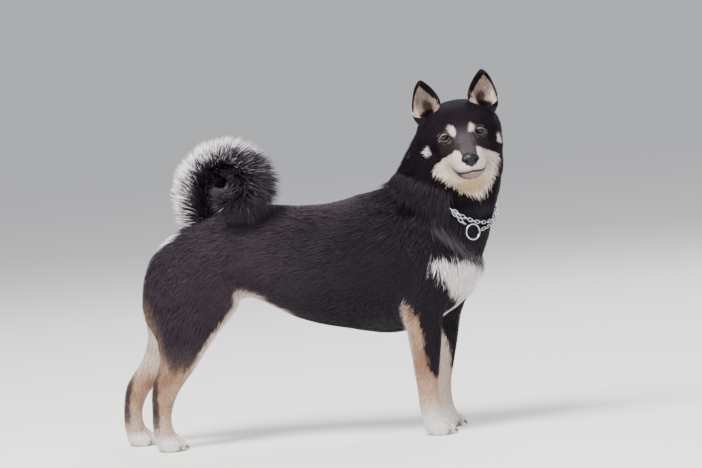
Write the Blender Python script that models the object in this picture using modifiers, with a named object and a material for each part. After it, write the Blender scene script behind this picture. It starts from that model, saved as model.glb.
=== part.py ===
"""A life-size shiba inu, black with tan and cream points, standing square with its head turned to its
right and its tail curled over its back. It wears a steel chain collar. Metres, +Z up, +X forward, +Y left."""

import math
import random

import bmesh
import bpy
import numpy as np
from mathutils import Matrix, Vector
from mathutils.bvhtree import BVHTree

# Whole dog
WITHERS_HEIGHT = 0.384
GAP = 0.0004
VOXEL = 0.003
BODY_TRIANGLES = 4080

# Head: the point midway between the eyes, and how the head is turned
EYE_MIDDLE = Vector((0.2585, -0.0630, 0.4567))
HEAD_YAW = math.radians(-77.5)
HEAD_PITCH = math.radians(9.0)
HEAD_ROLL = math.radians(6.0)
EYE_RADIUS = 0.0105
EYE_PLACE = Vector((-0.0085, 0.0265, 0.0))
EYE_OPENING = (0.0093, 0.0056)
LID_THICKNESS = 0.0018
LID_SLANT = math.radians(14.0)
EYE_TURN = math.radians(8.0)
NOSE_PLACE = Vector((0.0620, 0.0, -0.0280))
NOSE_WIDTH = 0.027
NOSE_HEIGHT = 0.0225
NOSE_DEPTH = 0.020
MOUTH_HEIGHT = -0.0450
MOUTH_WIDTH = 0.0020
MOUTH_DEPTH = 0.0032
EAR_WALL = 0.0036

# Tail and its plume
LOCK_WIDTH = 0.0175
LOCK_THICKNESS = 0.0048
SEED = 13

# Collar
LINK_LENGTH = 0.0165
LINK_WIDTH = 0.0078
LINK_WIRE = 0.0012
LINK_PITCH = 0.0135
RING_RADIUS = 0.0117
RING_WIRE = 0.0014
CHAIN_LIFT = 0.0044
THROAT_TURN = math.radians(-24.0)
RING_TURN = math.radians(-16.0)
COLLAR_TURNS = (0, 16, 32, 45, 70, 100, 180)
COLLAR_HEIGHTS = (0.3205, 0.3236, 0.3328, 0.3440, 0.3580, 0.3720, 0.3900)
STRANDS = [(-49, -25, 0.0085), (27, -8, 0.0120)]  # from and to, round the neck, and the drop at the ring

# Colours
BLACK = (0.018, 0.016, 0.018, 1)
TAN = (0.50, 0.30, 0.16, 1)
WET_BLACK = (0.012, 0.012, 0.014, 1)
BROWN = (0.030, 0.016, 0.010, 1)
STEEL = (0.72, 0.72, 0.74, 1)

X, Y, Z = Vector((1, 0, 0)), Vector((0, 1, 0)), Vector((0, 0, 1))
SIDES = {"right": -1, "left": 1}

# Tables of sections
TRUNK = [  # along the back: x, top, bottom, half width
    (-0.240, 0.290, 0.240, 0.026),
    (-0.228, 0.316, 0.218, 0.046),
    (-0.205, 0.340, 0.205, 0.060),
    (-0.175, 0.3535, 0.204, 0.068),
    (-0.140, 0.3620, 0.212, 0.071),
    (-0.100, 0.3675, 0.2270, 0.070),
    (-0.056, 0.3700, 0.2055, 0.071),
    (-0.016, 0.3655, 0.1855, 0.076),
    (0.025, 0.3645, 0.1735, 0.081),
    (0.066, 0.3705, 0.1645, 0.085),
    (0.094, 0.3775, 0.1585, 0.086),
    (0.132, WITHERS_HEIGHT, 0.1560, 0.085),
    (0.170, 0.3800, 0.1640, 0.081),
    (0.205, 0.3600, 0.1790, 0.073),
    (0.232, 0.3350, 0.1960, 0.060),
    (0.252, 0.3120, 0.2140, 0.043),
    (0.264, 0.2900, 0.2350, 0.022),
]
NECK = [  # up the neck: height, back, front, right side, left side
    (0.250, 0.118, 0.2600, -0.060, 0.060),
    (0.290, 0.108, 0.2795, -0.071, 0.071),
    (0.320, 0.112, 0.2885, -0.075, 0.071),
    (0.345, 0.120, 0.2975, -0.075, 0.068),
    (0.375, 0.132, 0.308, -0.074, 0.064),
    (0.405, 0.147, 0.313, -0.070, 0.061),
    (0.435, 0.161, 0.310, -0.063, 0.057),
    (0.460, 0.178, 0.296, -0.053, 0.052),
]
FRONT_LEG = [  # down the leg: height, back, front, inner side, outer side
    (0.338, 0.160, 0.204, 0.034, 0.058),
    (0.318, 0.140, 0.213, 0.028, 0.073),
    (0.290, 0.124, 0.222, 0.026, 0.083),
    (0.255, 0.117, 0.227, 0.026, 0.087),
    (0.222, 0.121, 0.222, 0.027, 0.085),
    (0.194, 0.134, 0.213, 0.029, 0.079),
    (0.172, 0.1455, 0.2055, 0.031, 0.074),
    (0.132, 0.1500, 0.2005, 0.034, 0.071),
    (0.099, 0.1540, 0.1955, 0.036, 0.069),
    (0.076, 0.1562, 0.1915, 0.037, 0.0685),
    (0.048, 0.1575, 0.1925, 0.037, 0.069),
    (0.028, 0.1615, 0.1965, 0.038, 0.070),
    (0.012, 0.1655, 0.1985, 0.040, 0.068),
]
HIND_LEG = [  # down the leg: height, back, front, inner side, outer side
    (0.340, -0.205, -0.145, 0.014, 0.038),
    (0.322, -0.228, -0.128, 0.010, 0.058),
    (0.300, -0.246, -0.115, 0.008, 0.070),
    (0.262, -0.2595, -0.104, 0.008, 0.081),
    (0.222, -0.2625, -0.106, 0.014, 0.085),
    (0.197, -0.2550, -0.125, 0.022, 0.084),
    (0.175, -0.2440, -0.145, 0.028, 0.081),
    (0.150, -0.2395, -0.164, 0.034, 0.077),
    (0.125, -0.2450, -0.184, 0.038, 0.074),
    (0.106, -0.2545, -0.2000, 0.040, 0.072),
    (0.090, -0.2580, -0.2120, 0.041, 0.071),
    (0.068, -0.2585, -0.2235, 0.041, 0.0705),
    (0.045, -0.2595, -0.2275, 0.041, 0.0705),
    (0.026, -0.2580, -0.2240, 0.041, 0.071),
    (0.012, -0.2530, -0.2180, 0.042, 0.070),
]
HEAD = [  # forward of the eyes: x, top, bottom, half width, squareness
    (-0.116, 0.012, -0.040, 0.034, 2.0),
    (-0.104, 0.028, -0.053, 0.049, 2.0),
    (-0.086, 0.0395, -0.063, 0.0590, 2.1),
    (-0.064, 0.0450, -0.070, 0.0655, 2.15),
    (-0.045, 0.0455, -0.072, 0.0660, 2.2),
    (-0.030, 0.0435, -0.072, 0.0635, 2.25),
    (-0.018, 0.0385, -0.071, 0.0575, 2.3),
    (-0.008, 0.0300, -0.069, 0.0485, 2.3),
    (0.002, 0.0150, -0.067, 0.0390, 2.3),
    (0.014, 0.0010, -0.065, 0.0320, 2.4),
    (0.030, -0.0070, -0.0635, 0.0272, 2.4),
    (0.046, -0.0120, -0.0615, 0.0238, 2.4),
    (0.057, -0.0155, -0.0585, 0.0205, 2.3),
    (0.0645, -0.0200, -0.0530, 0.0160, 2.1),
    (0.068, -0.0260, -0.0460, 0.0100, 2.0),
]
EAR = [  # up the ear: forward, inner edge (y, z), outer edge (y, z), half depth, hollow width share
    (-0.0440, 0.0240, 0.0300, 0.0520, 0.0060, 0.0150, 0.00),
    (-0.0425, 0.0210, 0.0470, 0.0635, 0.0215, 0.0145, 0.45),
    (-0.0405, 0.0232, 0.0570, 0.0668, 0.0350, 0.0130, 0.85),
    (-0.0385, 0.0275, 0.0665, 0.0665, 0.0490, 0.0110, 1.00),
    (-0.0365, 0.0335, 0.0755, 0.0635, 0.0620, 0.0090, 1.00),
    (-0.0350, 0.0390, 0.0820, 0.0603, 0.0725, 0.0070, 0.90),
    (-0.0342, 0.0430, 0.0862, 0.0570, 0.0795, 0.0048, 0.00),
    (-0.0338, 0.0468, 0.0890, 0.0520, 0.0866, 0.0024, 0.00),
]
TAIL = [  # out along the tail: x, y, z, core radius, reach of the plume past the core
    (-0.1560, 0.0000, 0.3380, 0.0250, 0.012),
    (-0.1655, 0.0000, 0.3600, 0.0235, 0.018),
    (-0.1675, -0.0010, 0.3830, 0.0215, 0.022),
    (-0.1625, -0.0040, 0.4080, 0.0200, 0.023),
    (-0.1490, -0.0090, 0.4270, 0.0190, 0.022),
    (-0.1295, -0.0150, 0.4385, 0.0185, 0.021),
    (-0.1080, -0.0220, 0.4375, 0.0182, 0.021),
    (-0.0910, -0.0300, 0.4250, 0.0180, 0.022),
    (-0.0830, -0.0400, 0.4050, 0.0172, 0.024),
    (-0.0870, -0.0500, 0.3870, 0.0155, 0.021),
    (-0.1000, -0.0575, 0.3775, 0.0130, 0.016),
    (-0.1130, -0.0610, 0.3760, 0.0095, 0.012),
]
CURL_MIDDLE = Vector((-0.1230, -0.0250, 0.4060))
PLUME_ROWS = [  # angle round the tail from its outer side, locks in the row, share of the reach
    (0, 19, 1.00),
    (34, 18, 0.95),
    (-34, 19, 0.95),
    (70, 13, 0.82),
    (-70, 15, 0.82),
    (112, 9, 0.66),
    (-106, 12, 0.66),
    (-145, 9, 0.56),
    (170, 8, 0.55),
]
TOES = [(-0.0150, -0.0050), (-0.0052, 0.0035), (0.0052, 0.0035), (0.0150, -0.0050)]
TOE_SIZE = Vector((0.0150, 0.0066, 0.0118))
PAW_PLACE = {"front": (0.1955, 0.0545), "hind": (-0.2245, 0.0555)}
HIND_STRIDE = -0.068


def fresh_collection(name):
    found = bpy.data.collections.new(name)
    bpy.context.scene.collection.children.link(found)
    return found


def new_object(name, mesh, collection):
    made = bpy.data.objects.new(name, mesh)
    collection.objects.link(made)
    return made


def mesh_object(name, points, faces, collection):
    mesh = bpy.data.meshes.new(name)
    mesh.from_pydata([tuple(p) for p in points], [], faces)
    shape = bmesh.new()
    shape.from_mesh(mesh)
    bmesh.ops.recalc_face_normals(shape, faces=shape.faces)
    shape.to_mesh(mesh)
    shape.free()
    return new_object(name, mesh, collection)


def loft(name, rings, collection):
    """A closed body through rings of equal point count, with flat ends."""
    count = len(rings[0])
    points = [p for ring in rings for p in ring]
    faces = [
        (r * count + k, r * count + (k + 1) % count, (r + 1) * count + (k + 1) % count, (r + 1) * count + k)
        for r in range(len(rings) - 1)
        for k in range(count)
    ]
    last = (len(rings) - 1) * count
    faces += [tuple(reversed(range(count))), tuple(range(last, last + count))]
    return mesh_object(name, points, faces, collection)


def hoop(name, rings, collection):
    """A closed body through rings that come round to the first one again."""
    count = len(rings[0])
    points = [p for ring in rings for p in ring]
    faces = []
    for r in range(len(rings)):
        this, after = r * count, (r + 1) % len(rings) * count
        for k in range(count):
            n = (k + 1) % count
            faces.append((this + k, this + n, after + n, after + k))
    return mesh_object(name, points, faces, collection)


def smooth_rows(rows, steps):
    """A table of sections with more sections between them, on a Catmull-Rom curve."""
    table = np.array(rows, float)
    padded = np.vstack([2 * table[0] - table[1], table, 2 * table[-1] - table[-2]])
    found = []
    for i in range(1, len(table)):
        a, b, c, d = padded[i - 1 : i + 3]
        for s in range(steps):
            t = s / steps
            bend = (2 * a - 5 * b + 4 * c - d) * t**2 + (3 * b - a - 3 * c + d) * t**3
            found.append(0.5 * (2 * b + (c - a) * t + bend))
    return found + [table[-1]]


def oval(middle, across, upward, half_width, half_height, square=2.0, count=28):
    """A ring about a middle, rounder at square 2 and boxier above it."""
    ring = []
    for k in range(count):
        turn = 2 * math.pi * k / count
        c, s = math.cos(turn), math.sin(turn)
        x = math.copysign(abs(c) ** (2 / square), c) * half_width
        y = math.copysign(abs(s) ** (2 / square), s) * half_height
        ring.append(Vector(middle) + across * x + upward * y)
    return ring


def ball(name, matrix, size, collection, segments=20, rows=12):
    shape = bmesh.new()
    bmesh.ops.create_uvsphere(shape, u_segments=segments, v_segments=rows, radius=1.0)
    bmesh.ops.transform(shape, matrix=matrix @ Matrix.Diagonal((*size, 1)), verts=shape.verts)
    mesh = bpy.data.meshes.new(name)
    shape.to_mesh(mesh)
    shape.free()
    return new_object(name, mesh, collection)


def apply_modifiers(thing):
    graph = bpy.context.evaluated_depsgraph_get()
    mesh = bpy.data.meshes.new_from_object(thing.evaluated_get(graph))
    thing.modifiers.clear()
    thing.data = mesh


def fuse(target, others):
    """Joins many closed bodies to target in one step and removes them."""
    gathered = fresh_collection("gathered")
    for other in others:
        for holder in list(other.users_collection):
            holder.objects.unlink(other)
        gathered.objects.link(other)
    step = target.modifiers.new("fuse", "BOOLEAN")
    step.operation = "UNION"
    step.solver = "MANIFOLD"
    step.operand_type = "COLLECTION"
    step.collection = gathered
    apply_modifiers(target)
    for other in list(gathered.objects):
        bpy.data.objects.remove(other)
    bpy.data.collections.remove(gathered)


def carve(target, tool, operation="DIFFERENCE", keep=False):
    step = target.modifiers.new("carve", "BOOLEAN")
    step.operation = operation
    step.solver = "MANIFOLD"
    step.object = tool
    apply_modifiers(target)
    if not keep:
        bpy.data.objects.remove(tool)


def copy_of(thing, name, collection):
    return new_object(name, thing.data.copy(), collection)


def grown(thing, gap, collection):
    """A copy of a body, larger by gap all round."""
    made = copy_of(thing, "grown", collection)
    for v in made.data.vertices:
        v.co += v.normal * gap
    return made


def keep_largest(thing):
    """Leaves only the largest closed surface of a mesh."""
    shape = bmesh.new()
    shape.from_mesh(thing.data)
    shape.verts.ensure_lookup_table()
    left, groups = set(shape.verts), []
    while left:
        edge, group = [left.pop()], []
        while edge:
            at = edge.pop()
            group.append(at)
            near = {e.other_vert(at) for e in at.link_edges} & left
            left -= near
            edge.extend(near)
        groups.append(group)
    groups.sort(key=lambda group: -spread(group))
    for scrap in groups[1:]:
        bmesh.ops.delete(shape, geom=scrap, context="VERTS")
    shape.to_mesh(thing.data)
    shape.free()


def spread(group):
    points = np.array([v.co for v in group])
    return float(np.prod(points.max(0) - points.min(0) + 1e-6))


def tree_of(thing):
    shape = bmesh.new()
    shape.from_mesh(thing.data)
    tree = BVHTree.FromBMesh(shape)
    shape.free()
    return tree


def paint(thing, colour, roughness, metallic=0.0):
    material = bpy.data.materials.new(thing.name)
    material.use_nodes = True
    shader = material.node_tree.nodes["Principled BSDF"]
    shader.inputs["Base Color"].default_value = colour
    shader.inputs["Roughness"].default_value = roughness
    shader.inputs["Metallic"].default_value = metallic
    thing.data.materials.clear()
    thing.data.materials.append(material)


# Where the left legs stand, against the right ones
def hind_shift(side, height):
    t = min(1.0, max(0.0, (0.300 - height) / 0.250))
    return HIND_STRIDE * t * t * (3 - 2 * t) if side > 0 else 0.0


def front_shift(side, height):
    return 0.003 + 0.085 * height if side > 0 else 0.0


SHIFTS = {"front": front_shift, "hind": hind_shift}


# Masses of the body
def trunk(tools):
    rings = []
    for x, top, bottom, wide in smooth_rows(TRUNK, 3):
        rings.append(oval((x, 0, (top + bottom) / 2), Y, Z, wide, (top - bottom) / 2, 2.15))
    return loft("trunk", rings, tools)


def neck(tools):
    rings = []
    for z, back, front, right, left in smooth_rows(NECK, 3):
        middle = ((back + front) / 2, (right + left) / 2, z)
        rings.append(oval(middle, X, Y, (front - back) / 2, (left - right) / 2))
    return loft("neck", rings, tools)


def leg(table, side, shift, tools):
    rings = []
    for z, back, front, inner, outer in smooth_rows(table, 3):
        middle = Vector(((back + front) / 2 + shift(side, z), side * (inner + outer) / 2, z))
        rings.append(oval(middle, X, Y, (front - back) / 2, (outer - inner) / 2, 2.1, 20))
    return loft("leg", rings, tools)


def head_frame():
    turns = Matrix.Rotation(HEAD_YAW, 4, "Z") @ Matrix.Rotation(HEAD_PITCH, 4, "Y")
    return Matrix.Translation(EYE_MIDDLE) @ turns @ Matrix.Rotation(HEAD_ROLL, 4, "X")


FACE = head_frame()


def head(tools):
    rings = []
    for x, top, bottom, wide, square in smooth_rows(HEAD, 3):
        rings.append(oval((x, 0, (top + bottom) / 2), Y, Z, wide, (top - bottom) / 2, square))
    made = loft("head", rings, tools)
    made.data.transform(FACE)
    return made


def at_face(x, y, z):
    return FACE @ Matrix.Translation((x, y, z))


def face_masses(tools):
    """Cheeks, throat, brows and the pads of the upper lip."""
    made = [ball("throat", at_face(-0.012, 0, -0.064), (0.050, 0.041, 0.028), tools)]
    made.append(ball("ruff", at_face(-0.040, 0, -0.082), (0.046, 0.050, 0.034), tools))
    for side in SIDES.values():
        made.append(ball("cheek", at_face(-0.048, side * 0.0325, -0.030), (0.038, 0.0335, 0.041), tools))
        made.append(ball("brow", at_face(-0.014, side * 0.0205, 0.0125), (0.0140, 0.0125, 0.0080), tools))
        made.append(ball("lip", at_face(0.0440, side * 0.0105, -0.0370), (0.0235, 0.0145, 0.0135), tools))
    return made


def paw(kind, side, tools):
    """The pad and four toes of a foot, reaching just below the floor, where a flat is cut."""
    x, y = PAW_PLACE[kind]
    x, y = x + SHIFTS[kind](side, 0.0), side * y
    made = [ball("pad", Matrix.Translation((x - 0.010, y, 0.0135)), (0.0215, 0.0175, 0.0165), tools)]
    for aside, ahead in TOES:
        made.append(ball("toe", Matrix.Translation((x + ahead, y + aside, 0.0098)), TOE_SIZE, tools))
    return made


def claws(kind, side, tools):
    x, y = PAW_PLACE[kind]
    x, y = x + SHIFTS[kind](side, 0.0), side * y
    made = []
    for aside, ahead in TOES:
        rings = []
        for t in (0.0, 1.0):
            middle = (x + ahead + TOE_SIZE.x - 0.0045 + 0.0075 * t, y + aside, 0.0085 - 0.0040 * t * t)
            size = 0.0024 - 0.0017 * t
            rings.append(oval(middle, Y, Z, size, size * 1.3, 2.0, 4))
        made.append(loft("claw", rings, tools))
    return made


def one_skin(masses, collection):
    """One smooth skin over masses that overlap."""
    points, faces = [], []
    for mass in masses:
        start = len(points)
        points += [v.co.copy() for v in mass.data.vertices]
        faces += [tuple(start + v for v in f.vertices) for f in mass.data.polygons]
        bpy.data.objects.remove(mass)
    mesh = bpy.data.meshes.new("body")
    mesh.from_pydata(points, [], faces)
    body = new_object("body", mesh, collection)
    skin = body.modifiers.new("one_skin", "REMESH")
    skin.mode = "VOXEL"
    skin.voxel_size = VOXEL
    apply_modifiers(body)
    return body


def soften(body):
    """Blends the masses, less at the face and the feet."""
    points = np.array([v.co for v in body.data.vertices])
    inverse = np.array(FACE.inverted())
    local = points @ inverse[:3, :3].T + inverse[:3, 3]
    feet = points[:, 2] < 0.034
    face = (local[:, 0] > -0.02) & (local[:, 2] > -0.09) & (abs(local[:, 1]) < 0.06)
    group = body.vertex_groups.new(name="soft")
    group.add(np.flatnonzero(~feet & ~face).tolist(), 1.0, "REPLACE")
    group.add(np.flatnonzero(face).tolist(), 0.25, "REPLACE")
    group.add(np.flatnonzero(feet).tolist(), 0.15, "REPLACE")
    step = body.modifiers.new("soften", "SMOOTH")
    step.factor = 0.5
    step.iterations = 14
    step.vertex_group = group.name
    apply_modifiers(body)
    body.vertex_groups.clear()


def thin_out(body, triangles):
    step = body.modifiers.new("thin_out", "DECIMATE")
    step.use_collapse_triangulate = True
    step.ratio = triangles / (2 * len(body.data.polygons))
    apply_modifiers(body)


def flatten_feet(body):
    shape = bmesh.new()
    shape.from_mesh(body.data)
    everything = shape.verts[:] + shape.edges[:] + shape.faces[:]
    bmesh.ops.bisect_plane(shape, geom=everything, plane_co=(0, 0, 0), plane_no=(0, 0, -1), clear_outer=True)
    bmesh.ops.holes_fill(shape, edges=[e for e in shape.edges if e.is_boundary])
    bmesh.ops.triangulate(shape, faces=[f for f in shape.faces if len(f.verts) > 3])
    shape.to_mesh(body.data)
    shape.free()


# Eyes, nose and mouth
def eye_matrix(side):
    return at_face(EYE_PLACE.x, side * EYE_PLACE.y, EYE_PLACE.z)


def lid_ball(side, tools):
    size = EYE_RADIUS + LID_THICKNESS
    return ball("lids", eye_matrix(side), (size, size, size), tools, 16, 10)


def lid_opening(side, tools):
    """The almond between the lids, as a block that reaches out of the eye."""
    outward = Matrix.Rotation(side * EYE_TURN, 4, "Z")
    slant = Matrix.Rotation(-side * LID_SLANT, 4, "X")
    rings = []
    for reach, share in ((0.0030, 0.80), (0.0300, 1.45)):
        ring = []
        for k in range(14):
            turn = 2 * math.pi * k / 14
            wide = math.cos(turn) * EYE_OPENING[0] * share
            high = math.sin(turn) * EYE_OPENING[1] * share * (1 - 0.35 * abs(math.cos(turn)) ** 2)
            ring.append(Vector((reach, wide, high)))
        rings.append(ring)
    made = loft("opening", rings, tools)
    made.data.transform(eye_matrix(side) @ outward @ slant)
    return made


def nose(collection, tools):
    """The nose pad with its nostrils and crease, and the block that its seat is cut with."""
    middle = at_face(*NOSE_PLACE)
    pad = ball("nose", middle, (NOSE_DEPTH * 0.5, NOSE_WIDTH * 0.40, NOSE_HEIGHT * 0.46), collection, 10, 6)
    top = middle @ Matrix.Translation((-0.0015, 0, NOSE_HEIGHT * 0.20))
    chin = middle @ Matrix.Translation((-0.0005, 0, -NOSE_HEIGHT * 0.26))
    mounds = [ball("top", top, (NOSE_DEPTH * 0.46, NOSE_WIDTH * 0.45, NOSE_HEIGHT * 0.28), tools, 10, 5)]
    mounds.append(ball("chin", chin, (NOSE_DEPTH * 0.44, NOSE_WIDTH * 0.22, NOSE_HEIGHT * 0.25), tools, 8, 5))
    for side in SIDES.values():
        place = middle @ Matrix.Translation((-0.0015, side * 0.0074, 0.0002))
        mounds.append(ball("wing", place, (0.0090, 0.0060, 0.0075), tools, 8, 5))
    fuse(pad, mounds)
    seat = grown(pad, GAP, tools)
    for side in SIDES.values():
        place = middle @ Matrix.Translation((0.0085, side * 0.0072, -0.0008))
        carve(pad, ball("nostril", place, (0.0060, 0.0026, 0.0030), tools, 6, 4))
        slit = middle @ Matrix.Translation((0.0052, side * 0.0108, -0.0034))
        slit = slit @ Matrix.Rotation(side * 0.6, 4, "X")
        carve(pad, ball("slit", slit, (0.0060, 0.0040, 0.0011), tools, 6, 4))
    crease = middle @ Matrix.Translation((0.0103, 0, -0.0052))
    carve(pad, ball("crease", crease, (0.0022, 0.0007, 0.0075), tools, 6, 4))
    keep_largest(pad)
    return pad, seat


def mouth_line(body, tools):
    """A groove along the lips, from corner to corner round the front of the muzzle."""
    tree = tree_of(body)
    rings = []
    for k in range(25):
        turn = math.radians(-112 + 224 * k / 24)
        dip = 0.0030 * math.sin(min(abs(turn) * 1.6, math.pi))
        lift = 0.0050 * (abs(turn) / math.radians(112)) ** 2 - dip
        start = FACE @ Vector((0.0300, 0, MOUTH_HEIGHT + lift))
        way = (FACE.to_3x3() @ Vector((math.cos(turn), math.sin(turn), 0))).normalized()
        hit = tree.ray_cast(start, way)[0]
        share = 1.0 if 0 < k < 24 else 0.3
        upward = FACE.to_3x3() @ Z
        rings.append(oval(hit, way, upward, MOUTH_DEPTH * share, MOUTH_WIDTH * share / 2, 2.0, 4))
    return loft("mouth", rings, tools)


def ear(side, body, collection, tools):
    """One ear, a cup that faces forward and a little outward."""
    forward = (Matrix.Rotation(side * math.radians(20.0), 4, "Z") @ X).to_3d()
    outside, inside = [], []
    for x, iy, iz, oy, oz, deep, share in EAR:
        inner, outer = Vector((x, side * iy, iz)), Vector((x, side * oy, oz))
        middle, across = (inner + outer) / 2, (outer - inner) / 2
        wide = across.length
        across.normalize()
        depth_way = (forward - across * forward.dot(across)).normalized()
        outside.append(oval(middle, across, depth_way, wide, deep, 2.0, 14))
        if share > 0.2:
            reach = 0.012 + max(deep - EAR_WALL, 0.0005)
            narrow = math.sqrt(1 - (0.012 / reach) ** 2) if reach > 0.0125 else 0.4
            hollow = max(wide - EAR_WALL * 0.85, 0.002) * min(share, 1.0) / narrow
            fore = middle + depth_way * 0.012
            inside.append(oval(fore, across, depth_way, min(hollow, wide * 1.5), reach, 2.0, 12))
    name = "ear_left" if side > 0 else "ear_right"
    made = loft(name, outside, collection)
    cup = loft("cup", inside, tools)
    carve(made, cup)
    made.data.transform(FACE)
    carve(made, grown(body, GAP, tools))
    keep_largest(made)
    return made


# The tail and its plume
def tail_stations(steps):
    rows = smooth_rows(TAIL, steps)
    spots = [Vector(r[:3]) for r in rows]
    found = []
    for i, row in enumerate(rows):
        along = (spots[min(i + 1, len(rows) - 1)] - spots[max(i - 1, 0)]).normalized()
        outward = spots[i] - CURL_MIDDLE
        outward.y *= 0.15
        outward = (outward - along * outward.dot(along)).normalized()
        found.append((spots[i], along, outward, along.cross(outward).normalized(), row[3], row[4]))
    return found


def tail_core(collection):
    rings = []
    for middle, along, outward, sideways, size, _ in tail_stations(2):
        rings.append(oval(middle, outward, sideways, size, size, 2.0, 10))
    return loft("tail", rings, collection)


def lock(root, way, bend, side, length, width, tools):
    """One flat, tapered lock of hair, rooted in the core and bending along the coat."""
    rings = []
    flat = way.cross(side).normalized()
    for t, share in ((0.0, 0.75), (0.58, 1.0)):
        middle = root + way * (length * t) + bend * (length * 0.22 * t * t)
        rings.append(oval(middle, side, flat, width / 2 * share, LOCK_THICKNESS / 2 * share, 2.0, 4))
    tip = root + way * length + bend * (length * 0.22)
    rings.append(oval(tip, side, flat, width * 0.13, 0.0006, 2.0, 4))
    return loft("lock", rings, tools)


def plume(tools):
    """Overlapping locks in rows along the tail, each row set off against the next."""
    draw = random.Random(SEED)
    stations = tail_stations(4)
    made = []
    for row, (degrees, count, share) in enumerate(PLUME_ROWS):
        for k in range(count):
            spot = 0.5 + (len(stations) - 1.5) * (k + (row * 0.382) % 1) / count
            middle, along, outward, sideways, size, reach = stations[min(len(stations) - 1, round(spot))]
            angle = math.radians(degrees + draw.uniform(-7, 7))
            radial = outward * math.cos(angle) + sideways * math.sin(angle)
            lay = math.radians(30 + 0.14 * abs(degrees) + draw.uniform(-6, 6))
            way = (radial * math.cos(lay) + along * math.sin(lay)).normalized()
            lengthwise = (along - way * along.dot(way)).normalized()
            twist = math.radians(draw.uniform(-42, 42))
            side = lengthwise * math.cos(twist) + way.cross(lengthwise) * math.sin(twist)
            length = (size * 0.70 + reach * share * draw.uniform(0.90, 1.05)) / math.cos(lay)
            width = LOCK_WIDTH * draw.uniform(0.85, 1.15)
            made.append(lock(middle + radial * size * 0.30, way, along, side, length, width, tools))
    middle, along, outward, sideways, size, reach = stations[-1]
    for k in range(5):
        turn = 2 * math.pi * k / 5
        lean = outward * math.cos(turn) + sideways * math.sin(turn)
        way = (along + lean * 0.45).normalized()
        side = along.cross(lean).normalized()
        start, length = middle - along * 0.006, reach + size + 0.006
        made.append(lock(start, way, -lean, side, length, LOCK_WIDTH * 0.8, tools))
    return made


# The collar
def neck_height(turn):
    """Height of the collar by the angle round the neck from the throat."""
    away = abs((turn + math.pi) % (2 * math.pi) - math.pi)
    return float(np.interp(away, np.radians(COLLAR_TURNS), COLLAR_HEIGHTS))


def neck_middle(height):
    rows = np.array(NECK)
    back, front = (np.interp(height, rows[:, 0], rows[:, c]) for c in (1, 2))
    return Vector(((back + front) / 2, -0.002, height))


def neck_point(tree, turn, drop, lift):
    """A point over the coat at an angle round the neck, and the way out from it."""
    height = neck_height(turn) - drop
    angle = turn + THROAT_TURN
    way = Vector((math.cos(angle), math.sin(angle), 0))
    hit, normal, _, _ = tree.ray_cast(neck_middle(height) + way * 0.25, -way)
    return hit + normal * lift, normal


def chain(points, closed, tools):
    """Fused links along a row of points, each with the way out from the neck."""
    made = []
    count = len(points)
    for i in range(count if closed else count - 1):
        here, out = points[i]
        there, _ = points[(i + 1) % count]
        along = (there - here).normalized()
        out = (out - along * out.dot(along)).normalized()
        across = along.cross(out)
        tilt = math.radians(42 if i % 2 else -42)
        flat = across * math.cos(tilt) + out * math.sin(tilt)
        normal = along.cross(flat)
        middle = (here + there) / 2
        straight = (LINK_LENGTH - LINK_WIDTH) / 2
        bend = LINK_WIDTH / 2 - LINK_WIRE
        rings = []
        for k in range(6):
            turn = 2 * math.pi * k / 6
            c, s = math.cos(turn), math.sin(turn)
            spot = middle + along * (c * bend + math.copysign(straight, c)) + flat * (s * bend)
            rings.append(oval(spot, along * c + flat * s, normal, LINK_WIRE, LINK_WIRE, 2.0, 3))
        made.append(hoop("link", rings, tools))
    return made


def evenly(points, pitch, closed):
    """Points at one pitch along a row of points."""
    row = points + points[:1] if closed else points
    spots = np.array([[*p, *n] for p, n in row])
    travel = np.concatenate([[0], np.cumsum(np.linalg.norm(np.diff(spots[:, :3], axis=0), axis=1))])
    count = max(2, round(travel[-1] / pitch))
    if closed and count % 2:
        count += 1
    wanted = np.linspace(0, travel[-1], count + 1)
    found = np.stack([np.interp(wanted, travel, spots[:, c]) for c in range(6)], axis=1)
    found = found[:-1] if closed else found
    return [(Vector(f[:3]), Vector(f[3:]).normalized()) for f in found]


def collar(neck_body, torso, collection, tools):
    tree = tree_of(neck_body)
    rounds = [neck_point(tree, 2 * math.pi * k / 120, 0.0, CHAIN_LIFT) for k in range(120)]
    links = chain(evenly(rounds, LINK_PITCH, True), True, tools)
    for start, end, drop in STRANDS:
        row = []
        for k in range(9):
            t = k / 8
            turn = math.radians(start + (end - start) * t)
            row.append(neck_point(tree, turn, drop * t**0.8, CHAIN_LIFT))
        links += chain(evenly(row, LINK_PITCH, False), False, tools)
    body = links.pop(0)
    body.name = "collar_chain"
    tools.objects.unlink(body)
    collection.objects.link(body)
    fuse(body, links)
    for other in (neck_body, torso):
        carve(body, grown(other, GAP * 0.8, tools))
    keep_largest(body)
    ring = collar_ring(tree, collection)
    carve(ring, grown(neck_body, GAP * 0.8, tools))
    carve(body, grown(ring, GAP * 0.8, tools))
    keep_largest(body)
    return [body, ring]


def collar_ring(tree, collection):
    middle, _ = neck_point(tree, RING_TURN, 0.0145, 0.0070)
    normal = (FACE.to_3x3() @ Vector((0.90, 0.42, 0.10))).normalized()
    across = Z.cross(normal).normalized()
    upward = normal.cross(across)
    rings = []
    for k in range(20):
        turn = 2 * math.pi * k / 20
        way = across * math.cos(turn) + upward * math.sin(turn)
        rings.append(oval(middle + way * RING_RADIUS, way, normal, RING_WIRE, RING_WIRE, 2.0, 6))
    return hoop("collar_ring", rings, collection)


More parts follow.
